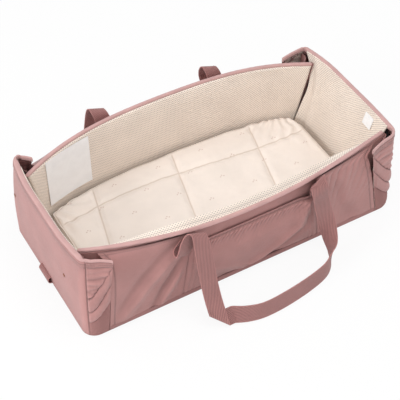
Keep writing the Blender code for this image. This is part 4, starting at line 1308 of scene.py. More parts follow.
def wing_height_share(across, v):
    """Height on a wing and place in its band: each band of rows lies between two curved tucks."""
    band = min(int(v * WING_BANDS + 1e-6), WING_BANDS - 1)
    curve = across**WING_TUCK_CURVE
    low, high = (a + (b - a) * curve for a, b in WING_TUCK_SHARES[band : band + 2])
    inside = min(max(v * WING_BANDS - band, 0.0), 1.0)
    return low + (high - low) * inside, inside, band


def wing_relief(along, height, inside, band):
    """How far a wing's cloth stands out: padded pleats that pucker at their tucks, ribs on the
    knitted foot, and a top band with level wrinkles over a turned hem."""
    puff = sin(pi * inside) ** 0.5
    from_tuck = min(inside, 1 - inside)
    if band == 0:
        return sizes().wing_puff * 0.6 * puff + 0.0004 * sin(tau * height / KNIT_PITCH)
    puckers = 0.0020 * crinkle(10, abs(along) / 0.0055, height / 0.030) * exp(-from_tuck / 0.16)
    relief = sizes().wing_puff * puff + puckers
    if band == WING_BANDS - 1:
        below = END_HEIGHT - height
        relief *= 0.35 + 0.65 * exp(-inside / 0.35)
        wrinkles = 0.0044 * crinkle(17, abs(along) / 0.040, height / 0.0100)
        relief += wrinkles * smooth_rise(below, 0.004, 0.016)
        relief += 0.0012 * smooth_rise(below, 0.0125, 0.0115)
    return relief


def make_wings():
    """Corner wings: padded pleats between curved tucks, over a foot of ribbed knit."""
    for end in ENDS:
        for side in SIDES:
            corner = corner_of(end, side.sign)
            start = CORNER_SEAM + CORNER_SEAM_GAP / 2
            top_reach = wing_edge(corner, END_HEIGHT) - start

            def place(u, v):
                share, inside, band = wing_height_share(u, v)
                height = FLOOR_GAP + (END_HEIGHT - FLOOR_GAP) * share
                along = side.sign * (start + (wing_edge(corner, height) - start) * u)
                spot, out = end_plan(along)
                edges = smooth_rise(u, 0.0, 0.10) * (0.30 + 0.70 * smooth_rise(1 - u, 0.0, 0.15))
                relief = wing_relief(along, height, inside, band) * edges
                stand = relief - drawn_in(end, along, height)
                spot = spot + out * (stand - CLOTH / 2)
                return Vector((end.sign * spot.x, spot.y, height))

            def seam(u, v):
                share, inside, band = wing_height_share(u, v)
                low, high = WING_TUCK_SHARES[band], WING_TUCK_SHARES[band + 1]
                at_seam, at_edge = high[0] - low[0], high[1] - low[1]
                tall = at_seam + (at_edge - at_seam) * u**WING_TUCK_CURVE
                tuck = min(inside, 1 - inside) * tall * END_HEIGHT
                below = (1 - share) * END_HEIGHT
                hem = min(abs(below - line) for line in WING_HEM_LINES)
                return min(tuck, u * top_reach, hem), u * top_reach

            bm = cloth_grid(90, 30 * WING_BANDS, place, (top_reach, END_HEIGHT), seam)
            level = bm.verts.layers.float.new("height")
            for vertex in bm.verts:
                vertex[level] = vertex.co.z
            wing = new_piece(
                f"{end.name}_{side.name}_pleats", bm, "shell_cloth",
                nodes=[f"{end.name}_{side.name}_wing"],
            )
            wing.data.materials.append(material_of("knit"))
            tuck_row = END_HEIGHT / WING_BANDS
            uv_map = wing.data.uv_layers.active.data
            for polygon in wing.data.polygons:
                middle = sum(uv_map[i].uv.y for i in polygon.loop_indices) / polygon.loop_total
                polygon.material_index = 1 if middle < tuck_row else 0
            give_thickness(wing, CLOTH)
            wing.data.materials.append(material_of("mesh_lining"))
            for polygon in wing.data.polygons:
                if polygon.normal.x * end.sign + polygon.normal.y * side.sign < -0.8:
                    polygon.material_index = 2


def gusset_plan(end, side, height):
    """The plan of a corner gusset from the end of the long wall to the corner seam."""
    wall_end = abs(wall_spread(side, end.sign * WALL_HALF_LENGTH, height))
    x = wall_end + 0.0022
    wall_out = bow(side, end.sign * wall_end)
    fold = wall_end - 0.026 + 0.020 * height / END_HEIGHT
    layer = 0.0036
    fold_out = bow(side, end.sign * fold) + layer + SHELL_DEPTH
    along = HALF_WIDTH - CORNER_RADIUS + CORNER_RADIUS * radians(65)
    spot, out = end_plan(along)
    spot -= out * (BASE_CLOTH + 0.0012 + drawn_in(end, side.sign * along, height))
    return [
        Vector((x, wall_out - FOAM_DEPTH)),
        Vector((x, wall_out + SHELL_DEPTH)),
        Vector(((x + fold) / 2, (wall_out + fold_out) / 2 + layer / 2)),
        Vector((fold, fold_out)),
        Vector((fold - layer / 2, fold_out + layer / 2)),
        Vector((fold, fold_out + layer)),
        Vector((x, (fold_out + layer + spot.y) / 2)),
        Vector((spot.x, spot.y)),
    ]


def smooth_value(values, place):
    """A vector read from a smooth curve through a list of vectors, place from 0 to 1."""
    at = place * (len(values) - 1)
    i = min(int(at), len(values) - 2)
    t = at - i
    a, b, c, d = (values[min(max(i + k, 0), len(values) - 1)] for k in (-1, 0, 1, 2))
    return (
        b * 2 + (c - a) * t + (a * 2 - b * 5 + c * 4 - d) * t**2 + (b * 3 - a - c * 3 + d) * t**3
    ) / 2


def make_gussets():
    """Folded cloth that closes each corner between the soft wall and the stiff end."""
    for end in ENDS:
        for side in SIDES:
            top = rim_length(side, WALL_HALF_LENGTH)

            def place(u, v):
                sag = 0.010 if side is BACK else 0.002
                droop = sag * sin(pi * u) ** 2 * v**6
                rise = (END_HEIGHT - 0.008 - top) * u**2 if side is FRONT else 0.0
                height = FLOOR_GAP + (top + rise - FLOOR_GAP) * v - droop
                spot = smooth_value(gusset_plan(end, side, height), u)
                crumple = 0.0012 * crinkle(11, u * 9, height / 0.03) * min(u * 5, 1, (1 - u) * 5)
                return Vector((end.sign * spot.x, side.sign * (spot.y + crumple), height))

            fold = cloth_piece(
                f"{end.name}_{side.name}_corner_fold", 60, 40, place, (GUSSET_CUT, top),
                "shell_cloth", thickness=THIN_CLOTH,
                nodes=[f"{end.name}_{side.name}_gusset"],
            )


def end_lining_half(end, side, height, spread_share=0.55):
    """Half width of an end's lining: it stays within the long walls, and near the rim it spreads
    behind their ends."""
    x = wall_spread(side, end.sign * WALL_HALF_LENGTH, height)
    half = inside_wall(side, x, LINING_DEPTH + 0.0012)
    spread = max(min(height / END_HEIGHT, 1) - spread_share, 0) / (1 - spread_share)
    return half + max(end.lining_top - half, 0) * spread**2


def end_lining_point(end, across, v, depth):
    """A point of an end's mesh lining, depth in from its outer face."""
    side = side_at(across)
    height = LINING_FOOT + (END_HEIGHT + MESH_LIP - LINING_FOOT) * v
    y_foot = abs(across) * end_lining_half(end, side, 0)
    radius = end.mattress_corner
    past = max(y_foot - (MATTRESS_STRAIGHT - radius), 0)
    x_foot = MATTRESS_HALF_LENGTH - radius + sqrt(radius**2 - past**2)
    x_foot += MATTRESS_CLEARANCE + END_LINING_DEPTH
    x_top = HALF_LENGTH - BASE_CLOTH - END_BOARD_GAP - END_BOARD - END_LINING_GAP
    y = across * end_lining_half(end, side, height)
    x = x_foot + (x_top - x_foot) * v - depth - drawn_in(end, y, height)
    return Vector((end.sign * x, y, height))


def make_ends():
    """Outer cloth, mesh lining and bound edge of each stiff end."""
    for end in ENDS:
        make_end_cloth(end)
        make_end_mesh(end)
        make_end_tape(end)


def make_end_cloth(end):
    """The outer cloth of a stiff end: drawn in at its corner seams, with soft upright waves."""
    reach = CORNER_SEAM - CORNER_SEAM_GAP / 2
    height = END_HEIGHT - FLOOR_GAP

    def place(u, v):
        along = reach * (2 * u - 1)
        spot, out = end_plan(along)
        from_seam = reach - abs(along)
        waves = 0.0012 * crinkle(12, along / 0.022, v * 1.2) * exp(-from_seam / 0.035)
        waves += 0.0009 * crinkle(13, along / 0.06, v * 1.6)
        seam_dip = -0.0016 * exp(-((from_seam / 0.003) ** 2))
        seam_dip += 0.0014 * smooth_rise((1 - v) * height, 0.0150, 0.0135)
        level = min(1.0, 6 * v, 6 * (1 - v))
        stand = end_belly(along, v) + waves * level + seam_dip
        stand -= drawn_in(end, along, FLOOR_GAP + height * v)
        spot = spot + out * (stand - CLOTH / 2)
        return Vector((end.sign * spot.x, spot.y, FLOOR_GAP + height * v))

    def seam(u, v):
        side_gap = min(u, 1 - u) * 2 * reach
        hem_gap = min(abs((1 - v) * height - line) for line in END_HEM_LINES)
        return min(side_gap, hem_gap), (v * height if side_gap < hem_gap else u * 2 * reach)

    panel = cloth_piece(
        f"{end.name}_end_cloth", 150, 70, place, (2 * reach, height), "shell_cloth",
        seam=seam, nodes=[f"{end.name}_end_panel"],
    )


def make_end_mesh(end):
    """The padded mesh that slopes from the mattress to an end's rim, with a soft upright fold."""

    def place(u, v, depth):
        return end_lining_point(end, 2 * u - 1, v, depth)

    def depths(u, v):
        edge = round_edge(min(u, 1 - u) * 0.25)
        level = sin(pi * min(max(v, 0), 1)) ** 0.5
        fold = 0.0035 * fold_along(u, v * 0.8, ((0.86, 0.10), (0.90, 0.50), (0.88, 0.82)), 0.035)
        soft = (0.0016 * crinkle(14, u * 5, v * 3) + fold) * level
        half = 0.0024 * (0.35 + 0.65 * edge)
        return 0.0026 + half + soft, 0.0026 - half + soft * 0.3

    def seam(u, v):
        return min(u, 1 - u) * 0.25, v * 0.22

    lining = padded_piece(
        f"{end.name}_end_mesh", 110, 70, place, depths, 0.29, "mesh_lining",
        seam=seam, nodes=[f"{end.name}_end_lining"],
    )


def make_end_tape(end):
    """Folded tape along the top of an end and of its wings."""
    front_edge, back_edge = wing_edge(end.front, END_HEIGHT), wing_edge(end.back, END_HEIGHT)
    reach = (front_edge + back_edge) / 2
    half_height = 0.0058

    def place(u, turn):
        along = (front_edge + back_edge) * u - front_edge
        spot, out = end_plan(along)
        past_board = abs(along) - END_BOARD_HALF_WIDTH
        on_wing = smooth_rise(past_board, -0.006, 0.022)
        thick = END_TAPE_THICKNESS + (WING_TAPE_THICKNESS - END_TAPE_THICKNESS) * on_wing
        pucker = 1 + 0.05 * crinkle(15, along / 0.007, turn)
        depth, up = superellipse(turn, thick / 2 * pucker, half_height * pucker)
        stand = 0.0006 - thick / 2 + depth - drawn_in(end, along, END_HEIGHT)
        spot = spot + out * stand
        return Vector((end.sign * spot.x, spot.y, END_HEIGHT + up))

    def seam(u, turn):
        up = superellipse(turn, 0.005, half_height)[1]
        return up + half_height, u * 2 * reach

    tape = swept_piece(
        f"{end.name}_end_tape", 240, 24, place, (2 * reach, 0.038), "binding",
        seam=seam, nodes=[f"{end.name}_end_binding"],
    )
    2 * reach


def quilt_lines(x, y):
    """Distance to the nearest sewn channel: two along and three across, which slant a little."""
    level = x - QUILT_SLANT * (y - QUILT_ROW) - QUILT_SHIFT
    column = min(abs(level - step * QUILT_COLUMN) for step in (-1, 0, 1))
    return min(column, abs(abs(y + QUILT_WANDER * sin(9 * x - 0.6)) - QUILT_ROW))


def mattress_blank():
    """The mattress before it is blown up: a rounded slab that follows the linings."""
    low, high = MATTRESS_BOX[0][2], MATTRESS_BOX[1][2]
    half = MATTRESS_HALF_LENGTH - BLOWN_INSET
    columns, rows = 48, 26
    bm = bmesh.new()
    grids = []
    for z in (low + BLOWN_INSET, high - 0.009):
        grid = []
        for i in range(columns + 1):
            x = half * sin(pi / 2 * (2 * i / columns - 1))
            line = []
            for j in range(rows + 1):
                across = 2 * j / rows - 1
                half_width = mattress_half_width(side_at(across), x)
                y = across * max(half_width - BLOWN_INSET, 0.02)
                line.append(bm.verts.new((x, y, z)))
            grid.append(line)
        grids.append(grid)
    for k, grid in enumerate(grids):
        for i in range(columns):
            for j in range(rows):
                face = [grid[a][b] for a, b in square_of(i, j)]
                bm.faces.new(face if k else face[::-1])
    for (a, b), (c, d) in edge_steps(columns, rows):
        bm.faces.new((grids[0][a][b], grids[0][c][d], grids[1][c][d], grids[1][a][b]))
    bmesh.ops.recalc_face_normals(bm, faces=bm.faces)
    return bm


def blow_up(piece):
    """Remeshes a padded piece and lets it swell as cloth, no point further than the cap."""
    piece.data.remesh_voxel_size = BLOWN_VOXEL
    bpy.ops.object.voxel_remesh()
    before = [vertex.co.copy() for vertex in piece.data.vertices]
    cloth = piece.modifiers.new("swell", "CLOTH")
    cloth.settings.use_pressure = True
    cloth.settings.uniform_pressure_force = 4.0
    cloth.settings.quality = 4
    cloth.settings.effector_weights.gravity = 0.0
    scene = bpy.context.scene
    for step in range(1, SWELL_FRAMES + 1):
        scene.frame_set(step)
    bpy.ops.object.modifier_apply(modifier=cloth.name)
    scene.frame_set(1)
    for vertex, start in zip(piece.data.vertices, before):
        move = vertex.co - start
        if move.length > SWELL_CAP:
            vertex.co = start + move * (SWELL_CAP / move.length)


def corner_puckers(x, y):
    """Relief of the short creases that fan out from the mattress's back corners."""
    relief = 0.0
    for corner_x, corner_y in PUCKERED_CORNERS:
        away_x, away_y = x - corner_x, y - corner_y
        reach = hypot(away_x, away_y)
        turn = atan2(away_y, away_x)
        rays = sin(turn * 22 + 2.0 * crinkle(23, reach / 0.03, turn))
        relief += 0.0020 * rays * smooth_rise(reach, 0.02, 0.06) * smooth_rise(reach, 0.16, 0.08)
    return relief


def make_mattress():
    """The quilted mattress: blown up as cloth, then drawn in along its channels."""
    low, high = MATTRESS_BOX[0][2], MATTRESS_BOX[1][2]
    mattress = new_piece(
        "mattress_pad", mattress_blank(), "mattress_cover", body="mattress",
        nodes=["mattress"],
    )
    select_only(mattress)
    blow_up(mattress)
    smooth = mattress.modifiers.new("smooth", "SUBSURF")
    smooth.levels = smooth.render_levels = 1
    apply_modifiers(mattress)
    gap = mattress.data.attributes.new("seam_gap", "FLOAT", "POINT")
    shown = mattress.data.attributes.new("on_top", "FLOAT", "POINT")
    for vertex in mattress.data.vertices:
        x, y, z = vertex.co
        lines = quilt_lines(x, y)
        from_side = mattress_half_width(side_at(y), x) - abs(y)
        from_edge = min(from_side, MATTRESS_HALF_LENGTH - abs(x))
        on_top = smooth_rise(z, low + 0.024, high - 0.018)
        filled = high - 0.005 - 0.014 * exp(-max(from_edge, 0) / 0.007)
        z += max(filled - z, 0) * on_top
        inside = smooth_rise(from_edge, 0.010, 0.022)
        drawn = sizes().quilt_depth * exp(-((lines / 0.0075) ** 2)) * inside
        drawn += 0.0022 * exp(-(((from_edge - EDGE_SEAM) / 0.0028) ** 2))
        puckers = 0.0022 * crinkle(20, x / 0.014, y / 0.014) * exp(-lines / 0.014)
        puckers += corner_puckers(x, y)
        soft = 0.0024 * crinkle(21, x / 0.055, y / 0.05)
        vertex.co.z = min(z + (puckers + soft - drawn) * on_top, high)
        vertex.co.z = max(vertex.co.z, low)
        gap.data[vertex.index].value = abs(from_edge - EDGE_SEAM) if on_top > 0.5 else 1.0
        shown.data[vertex.index].value = on_top * inside
    mattress.data.update()


# Handles

def webbing_at_hinge(side):
    """Out and up to the middle of the webbing's thickness at its hinge."""
    square = Vector((sin(HANDLE_HANG), cos(HANDLE_HANG)))
    return Vector((abs(side.hinge.y), side.hinge.z)) - square * WEBBING / 2


def bezier(points, share):
    """A point of a cubic curve."""
    a, b, c, d = points
    rest = 1 - share
    return a * rest**3 + b * 3 * rest**2 * share + c * 3 * rest * share**2 + d * share**3


def root_sections(side, end):
    """Sections of a handle's root, from where it is sewn under the rim to the hinge: it hangs down
    in a small fold, comes back up and arches over."""
    middle = side.shift + end.sign * HANDLE_SPACING / 2
    wall_out = wall_section(side, middle, 0.16)[0] + 0.0045
    hinge = webbing_at_hinge(side)
    rim = side.hinge.z
    drop = 0.045 if side is FRONT else 0.040
    loop = 0.009 if side is FRONT and end is HEAD else 0.0
    route = (
        (0.0, -0.022), (0.0005, -0.032), (0.0015, 0.004 - drop), (0.0045 + loop / 2, -drop),
        (0.0080 + loop, 0.004 - drop), (0.0100 + loop, -0.027), (0.0120 + loop / 2, -0.012),
        (0.0165, 0.0005),
    )
    line = [Vector((wall_out + out, rim + up)) for out, up in route]
    line += [Vector((hinge.x - 0.006, rim + 0.0065)), hinge]
    bends = [Vector(bend) for bend in root_bends(side, end)]
    sections = []
    steps = 4 * (len(line) - 1)
    for i in range(steps):
        spot = smooth_value(line, i / steps)
        slide, turn, tilt = smooth_value(bends, i / steps)
        stand = abs(sin(turn)) * WEBBING_WIDTH / 2
        spot = Vector((middle + slide, side.sign * (spot.x + stand), spot.y))
        wide = Vector((cos(turn) * cos(tilt), -side.sign * sin(turn), sin(tilt)))
        sections.append((spot, wide.normalized() * WEBBING_WIDTH))
    return sections


def root_tilt(side, end):
    """How far a strap tilts where it comes over at its root."""
    return 0.75 if side is FRONT and end is FOOT else -0.40


def root_bends(side, end):
    """How far a root's strap lies aside, turns about the upright and tilts, from its sewn end."""
    tilt = root_tilt(side, end)
    if side is BACK:
        return (0.020, 0.0, 0.0), (0.014, 0.0, -0.1), (0.0, 0.0, tilt)
    if end is FOOT:
        return (0.022, 0.0, 0.1), (0.016, 0.0, 0.2), (0.006, 0.0, 0.55), (0.0, 0.0, tilt)
    return (
        (-0.010, 0.0, -0.2), (-0.034, 0.2, -0.5), (-0.040, 0.3, -0.6), (-0.028, 0.15, -0.5),
        (-0.008, 0.0, -0.4), (0.0, 0.0, tilt),
    )


def leg_and_fold_sections(side):
    """Sections of the handle from its near hinge down to the slanted fold, and round it."""
    hinge = webbing_at_hinge(side)
    along = Vector((cos(HANDLE_HANG), -sin(HANDLE_HANG)))
    fold = Vector((abs(side.hinge.y) + HANDLE_REACH, HANDLE_FOLD_HEIGHT))
    kick = Vector((cos(HANDLE_KICK), -sin(HANDLE_KICK)))
    leg_end = fold - kick * HANDLE_FOLD_RAMP
    leg = (hinge, hinge + along * HANDLE_LEG_START, leg_end - kick * HANDLE_LEG_END, leg_end)
    x_leg = side.shift - HANDLE_SPACING / 2
    across = Vector((1, 0, 0))
    down = Vector((0, side.sign * kick.x, kick.y))
    behind = Vector((0, side.sign * kick.y, -kick.x))
    corner = Vector((x_leg, side.sign * fold.x, fold.y))

    sections = []
    leg_steps, fold_steps = 40, 8
    for i in range(leg_steps):
        out, height = bezier(leg, i / leg_steps)
        tilt = root_tilt(side, HEAD) * (1 - i / leg_steps) ** 3
        wide = Vector((cos(tilt), 0, sin(tilt)))
        sections.append((Vector((x_leg, side.sign * out, height)), wide * WEBBING_WIDTH))
    for i in range(fold_steps):
        slant = i / fold_steps
        middle = corner + down * HANDLE_FOLD_RAMP * (slant - 1)
        sections.append((middle, (across + down * slant) * WEBBING_WIDTH))
    fold_line = (across + down).normalized()
    beyond = (down - across).normalized()
    for i in range(fold_steps + 1):
        turn = pi * i / fold_steps
        middle = fold_line * turn + beyond * sin(turn) + behind * (1 - cos(turn))
        width = fold_line * WEBBING_WIDTH * sqrt(2)
        sections.append((corner + middle * HANDLE_FOLD_RADIUS, width))
    shift = HANDLE_FOLD_RADIUS * pi / sqrt(2)
    start = corner + (across + down) * shift + behind * 2 * HANDLE_FOLD_RADIUS
    for i in range(1, fold_steps + 1):
        slant = 1 - i / fold_steps
        middle = start + across * HANDLE_FOLD_RAMP * (1 - slant)
        sections.append((middle, (across * slant + down) * WEBBING_WIDTH))
    return sections


def run_sections(side, first):
    """Sections of the handle from its folded corner along the floor and up to its far hinge."""
    hinge = webbing_at_hinge(side)
    low = WEBBING_WIDTH / 2 + HANDLE_FLOOR_GAP
    line, widths = [first[0]], [first[1].normalized()]
    for (x, out, up), (wide_x, wide_out, wide_up) in HANDLE_ROUTE_SHARES:
        place_x = side.shift + x * HANDLE_SPACING / 2
        place_y = side.sign * (hinge.x + out * HANDLE_REACH)
        line.append(Vector((place_x, place_y, low + up * (hinge.y - low))))
        near_root = side is BACK and up > 0.6
        widths.append(Vector((wide_x, side.sign * wide_out, wide_up * (-0.6 if near_root else 1))))
    line.append(Vector((side.shift + HANDLE_SPACING / 2, side.sign * hinge.x, hinge.y)))
    tilt = root_tilt(side, FOOT)
    widths.append(Vector((-cos(tilt), 0, -sin(tilt))))
    steps = 10 * (len(line) - 1)
    tiny = 1e-3
    sections = []
    for i in range(1, steps + 1):
        share = i / steps
        ahead = smooth_value(line, min(share + tiny, 1)) - smooth_value(line, share - tiny)
        ahead.normalize()
        wide = smooth_value(widths, share)
        if i < steps:
            wide -= ahead * wide.dot(ahead)
        sections.append((smooth_value(line, share), wide.normalized() * WEBBING_WIDTH))
    return sections


def make_handles():
    """One length of ribbed webbing for each handle, from sewn root to sewn root."""
    for side in SIDES:
        sections = root_sections(side, HEAD) + leg_and_fold_sections(side)
        sections += run_sections(side, sections[-1])
        sections += [(middle, -width) for middle, width in reversed(root_sections(side, FOOT))]
        middles = [middle for middle, _ in sections]
        travelled = [0.0]
        for a, b in zip(middles, middles[1:]):
            travelled.append(travelled[-1] + (b - a).length)
        rows = len(sections) - 1

        def place(u, v):
            middle, width = sections[round(v * rows)]
            return middle + width * (u - 0.5)

        bm = cloth_grid(34, rows, place, (WEBBING_WIDTH, 1.0))
        uv_map = bm.loops.layers.uv.active
        for face in bm.faces:
            for loop in face.loops:
                u, v = loop[uv_map].uv
                loop[uv_map].uv = (u, travelled[round(v * rows)])
        body = f"{side.name}_handle"
        handle = new_piece(
            f"{side.name}_handle_webbing", bm, "webbing", body=None,
            nodes=[body, f"{side.name}_head_handle_root", f"{side.name}_foot_handle_root"],
        )
        give_thickness(handle, WEBBING)
        out = Vector((0, side.sign, 0))
        hinge = Vector((side.shift, side.hinge.y, side.hinge.z))
        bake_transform(handle, "cot", body, start=hinge - out * 0.006, end=hinge + out * 0.003)


# Small pieces

def make_labels():
    """The blank care label on the back wall and the small blank tag at the foot end."""
    near, far, low, high = 0.200, 0.318, 0.074, 0.204

    def place_label(u, v):
        x = -(near + (far - near) * u)
        lift = 0.0012 * (1 - v) ** 2 + 0.0003 * crinkle(16, u * 3, v * 3)
        return wall_point(BACK, x, low + (high - low) * v, LINING_DEPTH + 0.0026 + lift)

    size = (far - near, high - low)
    label = cloth_piece(
        "blank_care_label", 40, 40, place_label, size, "label",
        thickness=0.0005, nodes=["care_label"],
    )
    tag_low, tag_high, offset, width = 0.178, 0.206, 0.092, 0.030

    def place_tag(u, v):
        height = tag_low + (tag_high - tag_low) * v
        share = (height - LINING_FOOT) / (END_HEIGHT + MESH_LIP - LINING_FOOT)
        y = offset + width * (u - 0.5)
        across = -y / end_lining_half(FOOT, FRONT, height)
        return end_lining_point(FOOT, across, share, 0.0056 + 0.002 * (1 - v))

    tag = cloth_piece(
        "blank_side_tag", 12, 12, place_tag, (width, tag_high - tag_low), "label",
        thickness=0.0006, nodes=["side_tag"],
    )


def make_head_loop():
    """The webbing loop at the foot of the head end."""
    width, deep, low, high, offset = 0.046, 0.0080, 0.003, 0.022, 0.010
    x_start = HALF_LENGTH + end_belly(0, high / END_HEIGHT)
    middle, half = (high + low) / 2, (high - low) / 2

    def place(u, v):
        turn = pi * v
        x = x_start - 0.003 + (deep + 0.003) * sin(turn) ** 0.8
        return Vector((-x, offset + width * (u - 0.5), middle + half * cos(turn)))

    loop = cloth_piece(
        "head_end_loop", 24, 32, place, (WEBBING_WIDTH, 0.045), "webbing",
        thickness=0.0016, nodes=["head_loop"],
    )


STUD_RINGS = ((0.0007, 0.0003), (0.0005, -0.0003), (0.0012, -0.0004), (0.0009, -0.0002))


def make_studs():
    """Two domed copper studs with a rolled rim, turned from one profile."""
    bpy.ops.object.select_all(action="DESELECT")
    for name in ("head_stud_front", "head_stud_back"):
        low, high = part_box(name)
        centre = Vector([(a + b) / 2 for a, b in zip(low, high)])
        bpy.ops.mesh.primitive_cylinder_add(
            vertices=32, radius=0.0040, depth=0.0010,
            location=(low[0] + 0.0013, centre.y, centre.z), rotation=(0, -pi / 2, 0),
        )
        stud = bpy.context.active_object
        stud.name = f"{name}_cap"
        bpy.ops.object.transform_apply(location=True, rotation=True, scale=True)
        bpy.ops.object.mode_set(mode="EDIT")
        bpy.ops.mesh.select_all(action="DESELECT")
        bpy.ops.mesh.select_mode(type="FACE")
        bpy.ops.object.mode_set(mode="OBJECT")
        for polygon in stud.data.polygons:
            polygon.select = polygon.normal.x < -0.9
        bpy.ops.object.mode_set(mode="EDIT")
        for inset, lift in STUD_RINGS:
            bpy.ops.mesh.inset(thickness=inset, depth=0)
            bpy.ops.transform.translate(value=(lift, 0, 0))
        bpy.ops.object.mode_set(mode="OBJECT")
        bevel = stud.modifiers.new("edge", "BEVEL")
        bevel.width = 0.0002
        bevel.segments = 2
        apply_modifiers(stud)
        stud.data.materials.clear()
        stud.data.materials.append(material_of("stud"))
        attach(stud, "cot")
        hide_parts(name)


def finish_boards():
    """Gives the hidden stiff boards their plastic."""
    for name in ("base_board", "head_end_board", "foot_end_board"):
        for slot in frame["nodes"][name].material_slots:
            slot.material = material_of("board")


# Stage

def make_stage():
    """Pale floor, soft lights and the photograph's camera."""
    make_floor()
    make_lights()
    make_camera()


def make_floor():
    bpy.ops.object.select_all(action="DESELECT")
    bpy.ops.mesh.primitive_plane_add(size=FLOOR_SIZE, location=(0, 0, -0.0005))
    floor = bpy.context.active_object
    floor.name = "floor"
    material = bpy.data.materials.new("pale_floor")
    material.use_nodes = True
    tree = material.node_tree
    shader = tree.nodes["Principled BSDF"]
    shader.inputs["Base Color"].default_value = (FLOOR_GREY, FLOOR_GREY, FLOOR_GREY, 1.0)
    shader.inputs["Roughness"].default_value = 0.9
    shader.inputs["Specular IOR Level"].default_value = 0.1
    glow = tree.nodes.new("ShaderNodeEmission")
    mix = tree.nodes.new("ShaderNodeMixShader")
    path = tree.nodes.new("ShaderNodeLightPath")
    share = tree.nodes.new("ShaderNodeMath")
    share.operation = "MULTIPLY"
    share.inputs[1].default_value = FLOOR_GREY
    tree.links.new(path.outputs["Is Camera Ray"], share.inputs[0])
    tree.links.new(share.outputs[0], mix.inputs[0])
    tree.links.new(shader.outputs[0], mix.inputs[1])
    tree.links.new(glow.outputs[0], mix.inputs[2])
    tree.links.new(mix.outputs[0], tree.nodes["Material Output"].inputs["Surface"])
    floor.data.materials.append(material)


def make_lights():
    world = bpy.data.worlds.new("studio")
    bpy.context.scene.world = world
    world.use_nodes = True
    tree = world.node_tree
    background = tree.nodes["Background"]
    background.inputs["Color"].default_value = (1.0, 1.0, 1.0, 1.0)
    path = tree.nodes.new("ShaderNodeLightPath")
    strength = tree.nodes.new("ShaderNodeMapRange")
    strength.inputs["To Min"].default_value = WORLD_LEVEL
    strength.inputs["To Max"].default_value = 1.0
    tree.links.new(path.outputs["Is Camera Ray"], strength.inputs["Value"])
    tree.links.new(strength.outputs["Result"], background.inputs["Strength"])
    add_area_light("key", *KEY_LAMP)
    add_area_light("top", *TOP_LAMP)


def add_area_light(name, place, size, power):
    """A soft square lamp that points at the carrycot."""
    data = bpy.data.lights.new(name, "AREA")
    data.size = size
    data.energy = power
    lamp = bpy.data.objects.new(name, data)
    lamp.location = place
    lamp.rotation_euler = (Vector((0, 0, 0.1)) - place).to_track_quat("-Z", "Y").to_euler()
    bpy.context.scene.collection.objects.link(lamp)


def make_camera():
    data = bpy.data.cameras.new("photograph")
    data.sensor_fit = "HORIZONTAL"
    data.sensor_width = 36.0
    data.lens = FOCAL_PIXELS / PHOTO_PIXELS * data.sensor_width
    camera = bpy.data.objects.new("photograph", data)
    flat = cos(CAMERA_ELEVATION)
    away = Vector((
        sin(CAMERA_AZIMUTH) * flat, -cos(CAMERA_AZIMUTH) * flat, sin(CAMERA_ELEVATION)
    ))
    camera.location = CAMERA_TARGET + away * CAMERA_DISTANCE
    camera.rotation_euler = (-away).to_track_quat("-Z", "Y").to_euler()
    bpy.context.scene.collection.objects.link(camera)
    bpy.context.scene.camera = camera
    bpy.context.scene.view_settings.view_transform = "Standard"


# Operators and panel

class CARRYCOT_OT_base(bpy.types.Operator):
    """Make the base cloth and its hems"""

    bl_idname = "carrycot.base"
    bl_label = "Base"

    def execute(self, context):
        make_base()
        return {"FINISHED"}


class CARRYCOT_OT_walls(bpy.types.Operator):
    """Make the outer cloth and mesh of the long walls"""

    bl_idname = "carrycot.walls"
    bl_label = "Long walls"

    def execute(self, context):
        make_walls()
        return {"FINISHED"}


class CARRYCOT_OT_rims(bpy.types.Operator):
    """Make the bound rims of the long walls"""

    bl_idname = "carrycot.rims"
    bl_label = "Rim tapes"

    def execute(self, context):
        make_rim_bindings()
        return {"FINISHED"}


class CARRYCOT_OT_pockets(bpy.types.Operator):
    """Make the gathered pockets"""

    bl_idname = "carrycot.pockets"
    bl_label = "Pockets"

    def execute(self, context):
        make_pockets()
        return {"FINISHED"}


class CARRYCOT_OT_panels(bpy.types.Operator):
    """Make the folded side panels"""

    bl_idname = "carrycot.panels"
    bl_label = "Side panels"

    def execute(self, context):
        make_side_panels()
        return {"FINISHED"}


class CARRYCOT_OT_ends(bpy.types.Operator):
    """Make the stiff ends' cloth, mesh and tape"""

    bl_idname = "carrycot.ends"
    bl_label = "Ends"

    def execute(self, context):
        make_ends()
        return {"FINISHED"}


class CARRYCOT_OT_wings(bpy.types.Operator):
    """Make the pleated corner wings"""

    bl_idname = "carrycot.wings"
    bl_label = "Wings"

    def execute(self, context):
        make_wings()
        return {"FINISHED"}


class CARRYCOT_OT_gussets(bpy.types.Operator):
    """Make the folded corner gussets"""

    bl_idname = "carrycot.gussets"
    bl_label = "Corner folds"

    def execute(self, context):
        make_gussets()
        return {"FINISHED"}


class CARRYCOT_OT_mattress(bpy.types.Operator):
    """Make the quilted mattress"""

    bl_idname = "carrycot.mattress"
    bl_label = "Mattress"

    def execute(self, context):
        make_mattress()
        return {"FINISHED"}


class CARRYCOT_OT_handles(bpy.types.Operator):
    """Make the webbing handles"""

    bl_idname = "carrycot.handles"
    bl_label = "Handles"

    def execute(self, context):
        make_handles()
        return {"FINISHED"}


class CARRYCOT_OT_labels(bpy.types.Operator):
    """Make the blank label and tag"""

    bl_idname = "carrycot.labels"
    bl_label = "Labels"

    def execute(self, context):
        make_labels()
        return {"FINISHED"}


class CARRYCOT_OT_loop(bpy.types.Operator):
    """Make the loop at the head end"""

    bl_idname = "carrycot.loop"
    bl_label = "Head loop"

    def execute(self, context):
        make_head_loop()
        return {"FINISHED"}


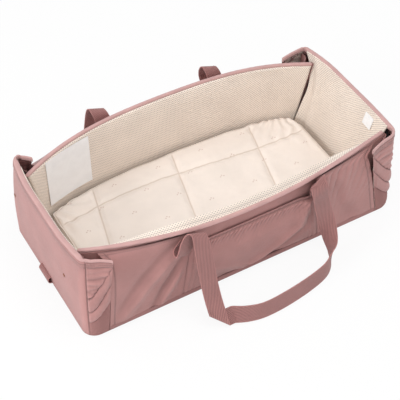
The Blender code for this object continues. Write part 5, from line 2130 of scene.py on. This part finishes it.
class CARRYCOT_OT_studs(bpy.types.Operator):
    """Make the copper studs"""

    bl_idname = "carrycot.studs"
    bl_label = "Studs"

    def execute(self, context):
        make_studs()
        return {"FINISHED"}


class CARRYCOT_OT_boards(bpy.types.Operator):
    """Finish the stiff boards"""

    bl_idname = "carrycot.boards"
    bl_label = "Boards"

    def execute(self, context):
        finish_boards()
        return {"FINISHED"}


class CARRYCOT_OT_stage(bpy.types.Operator):
    """Make the floor, lights and camera"""

    bl_idname = "carrycot.stage"
    bl_label = "Stage"

    def execute(self, context):
        make_stage()
        return {"FINISHED"}


STEPS = [
    CARRYCOT_OT_base,
    CARRYCOT_OT_walls,
    CARRYCOT_OT_rims,
    CARRYCOT_OT_pockets,
    CARRYCOT_OT_panels,
    CARRYCOT_OT_ends,
    CARRYCOT_OT_wings,
    CARRYCOT_OT_gussets,
    CARRYCOT_OT_mattress,
    CARRYCOT_OT_handles,
    CARRYCOT_OT_labels,
    CARRYCOT_OT_loop,
    CARRYCOT_OT_studs,
    CARRYCOT_OT_boards,
    CARRYCOT_OT_stage,
]


class CARRYCOT_PT_panel(bpy.types.Panel):
    """Lists the carrycot's settings and its making steps"""

    bl_idname = "CARRYCOT_PT_panel"
    bl_label = "Carrycot"
    bl_space_type = "VIEW_3D"
    bl_region_type = "UI"
    bl_category = "Carrycot"

    def draw(self, context):
        for group in (context.scene.carrycot_sizes, context.scene.carrycot_colours):
            for name in group.__annotations__:
                self.layout.prop(group, name)
        for step in STEPS:
            self.layout.operator(step.bl_idname)


CLASSES = [CarrycotSizes, CarrycotColours, *STEPS, CARRYCOT_PT_panel]


def register():
    for cls in CLASSES:
        bpy.utils.register_class(cls)
    bpy.types.Scene.carrycot_sizes = bpy.props.PointerProperty(type=CarrycotSizes)
    bpy.types.Scene.carrycot_colours = bpy.props.PointerProperty(type=CarrycotColours)


def unregister():
    del bpy.types.Scene.carrycot_sizes
    del bpy.types.Scene.carrycot_colours
    for cls in reversed(CLASSES):
        bpy.utils.unregister_class(cls)


def main():
    register()
    for step in STEPS:
        getattr(bpy.ops.carrycot, step.bl_idname.split(".")[1])()


if __name__ == "__main__":
    main()
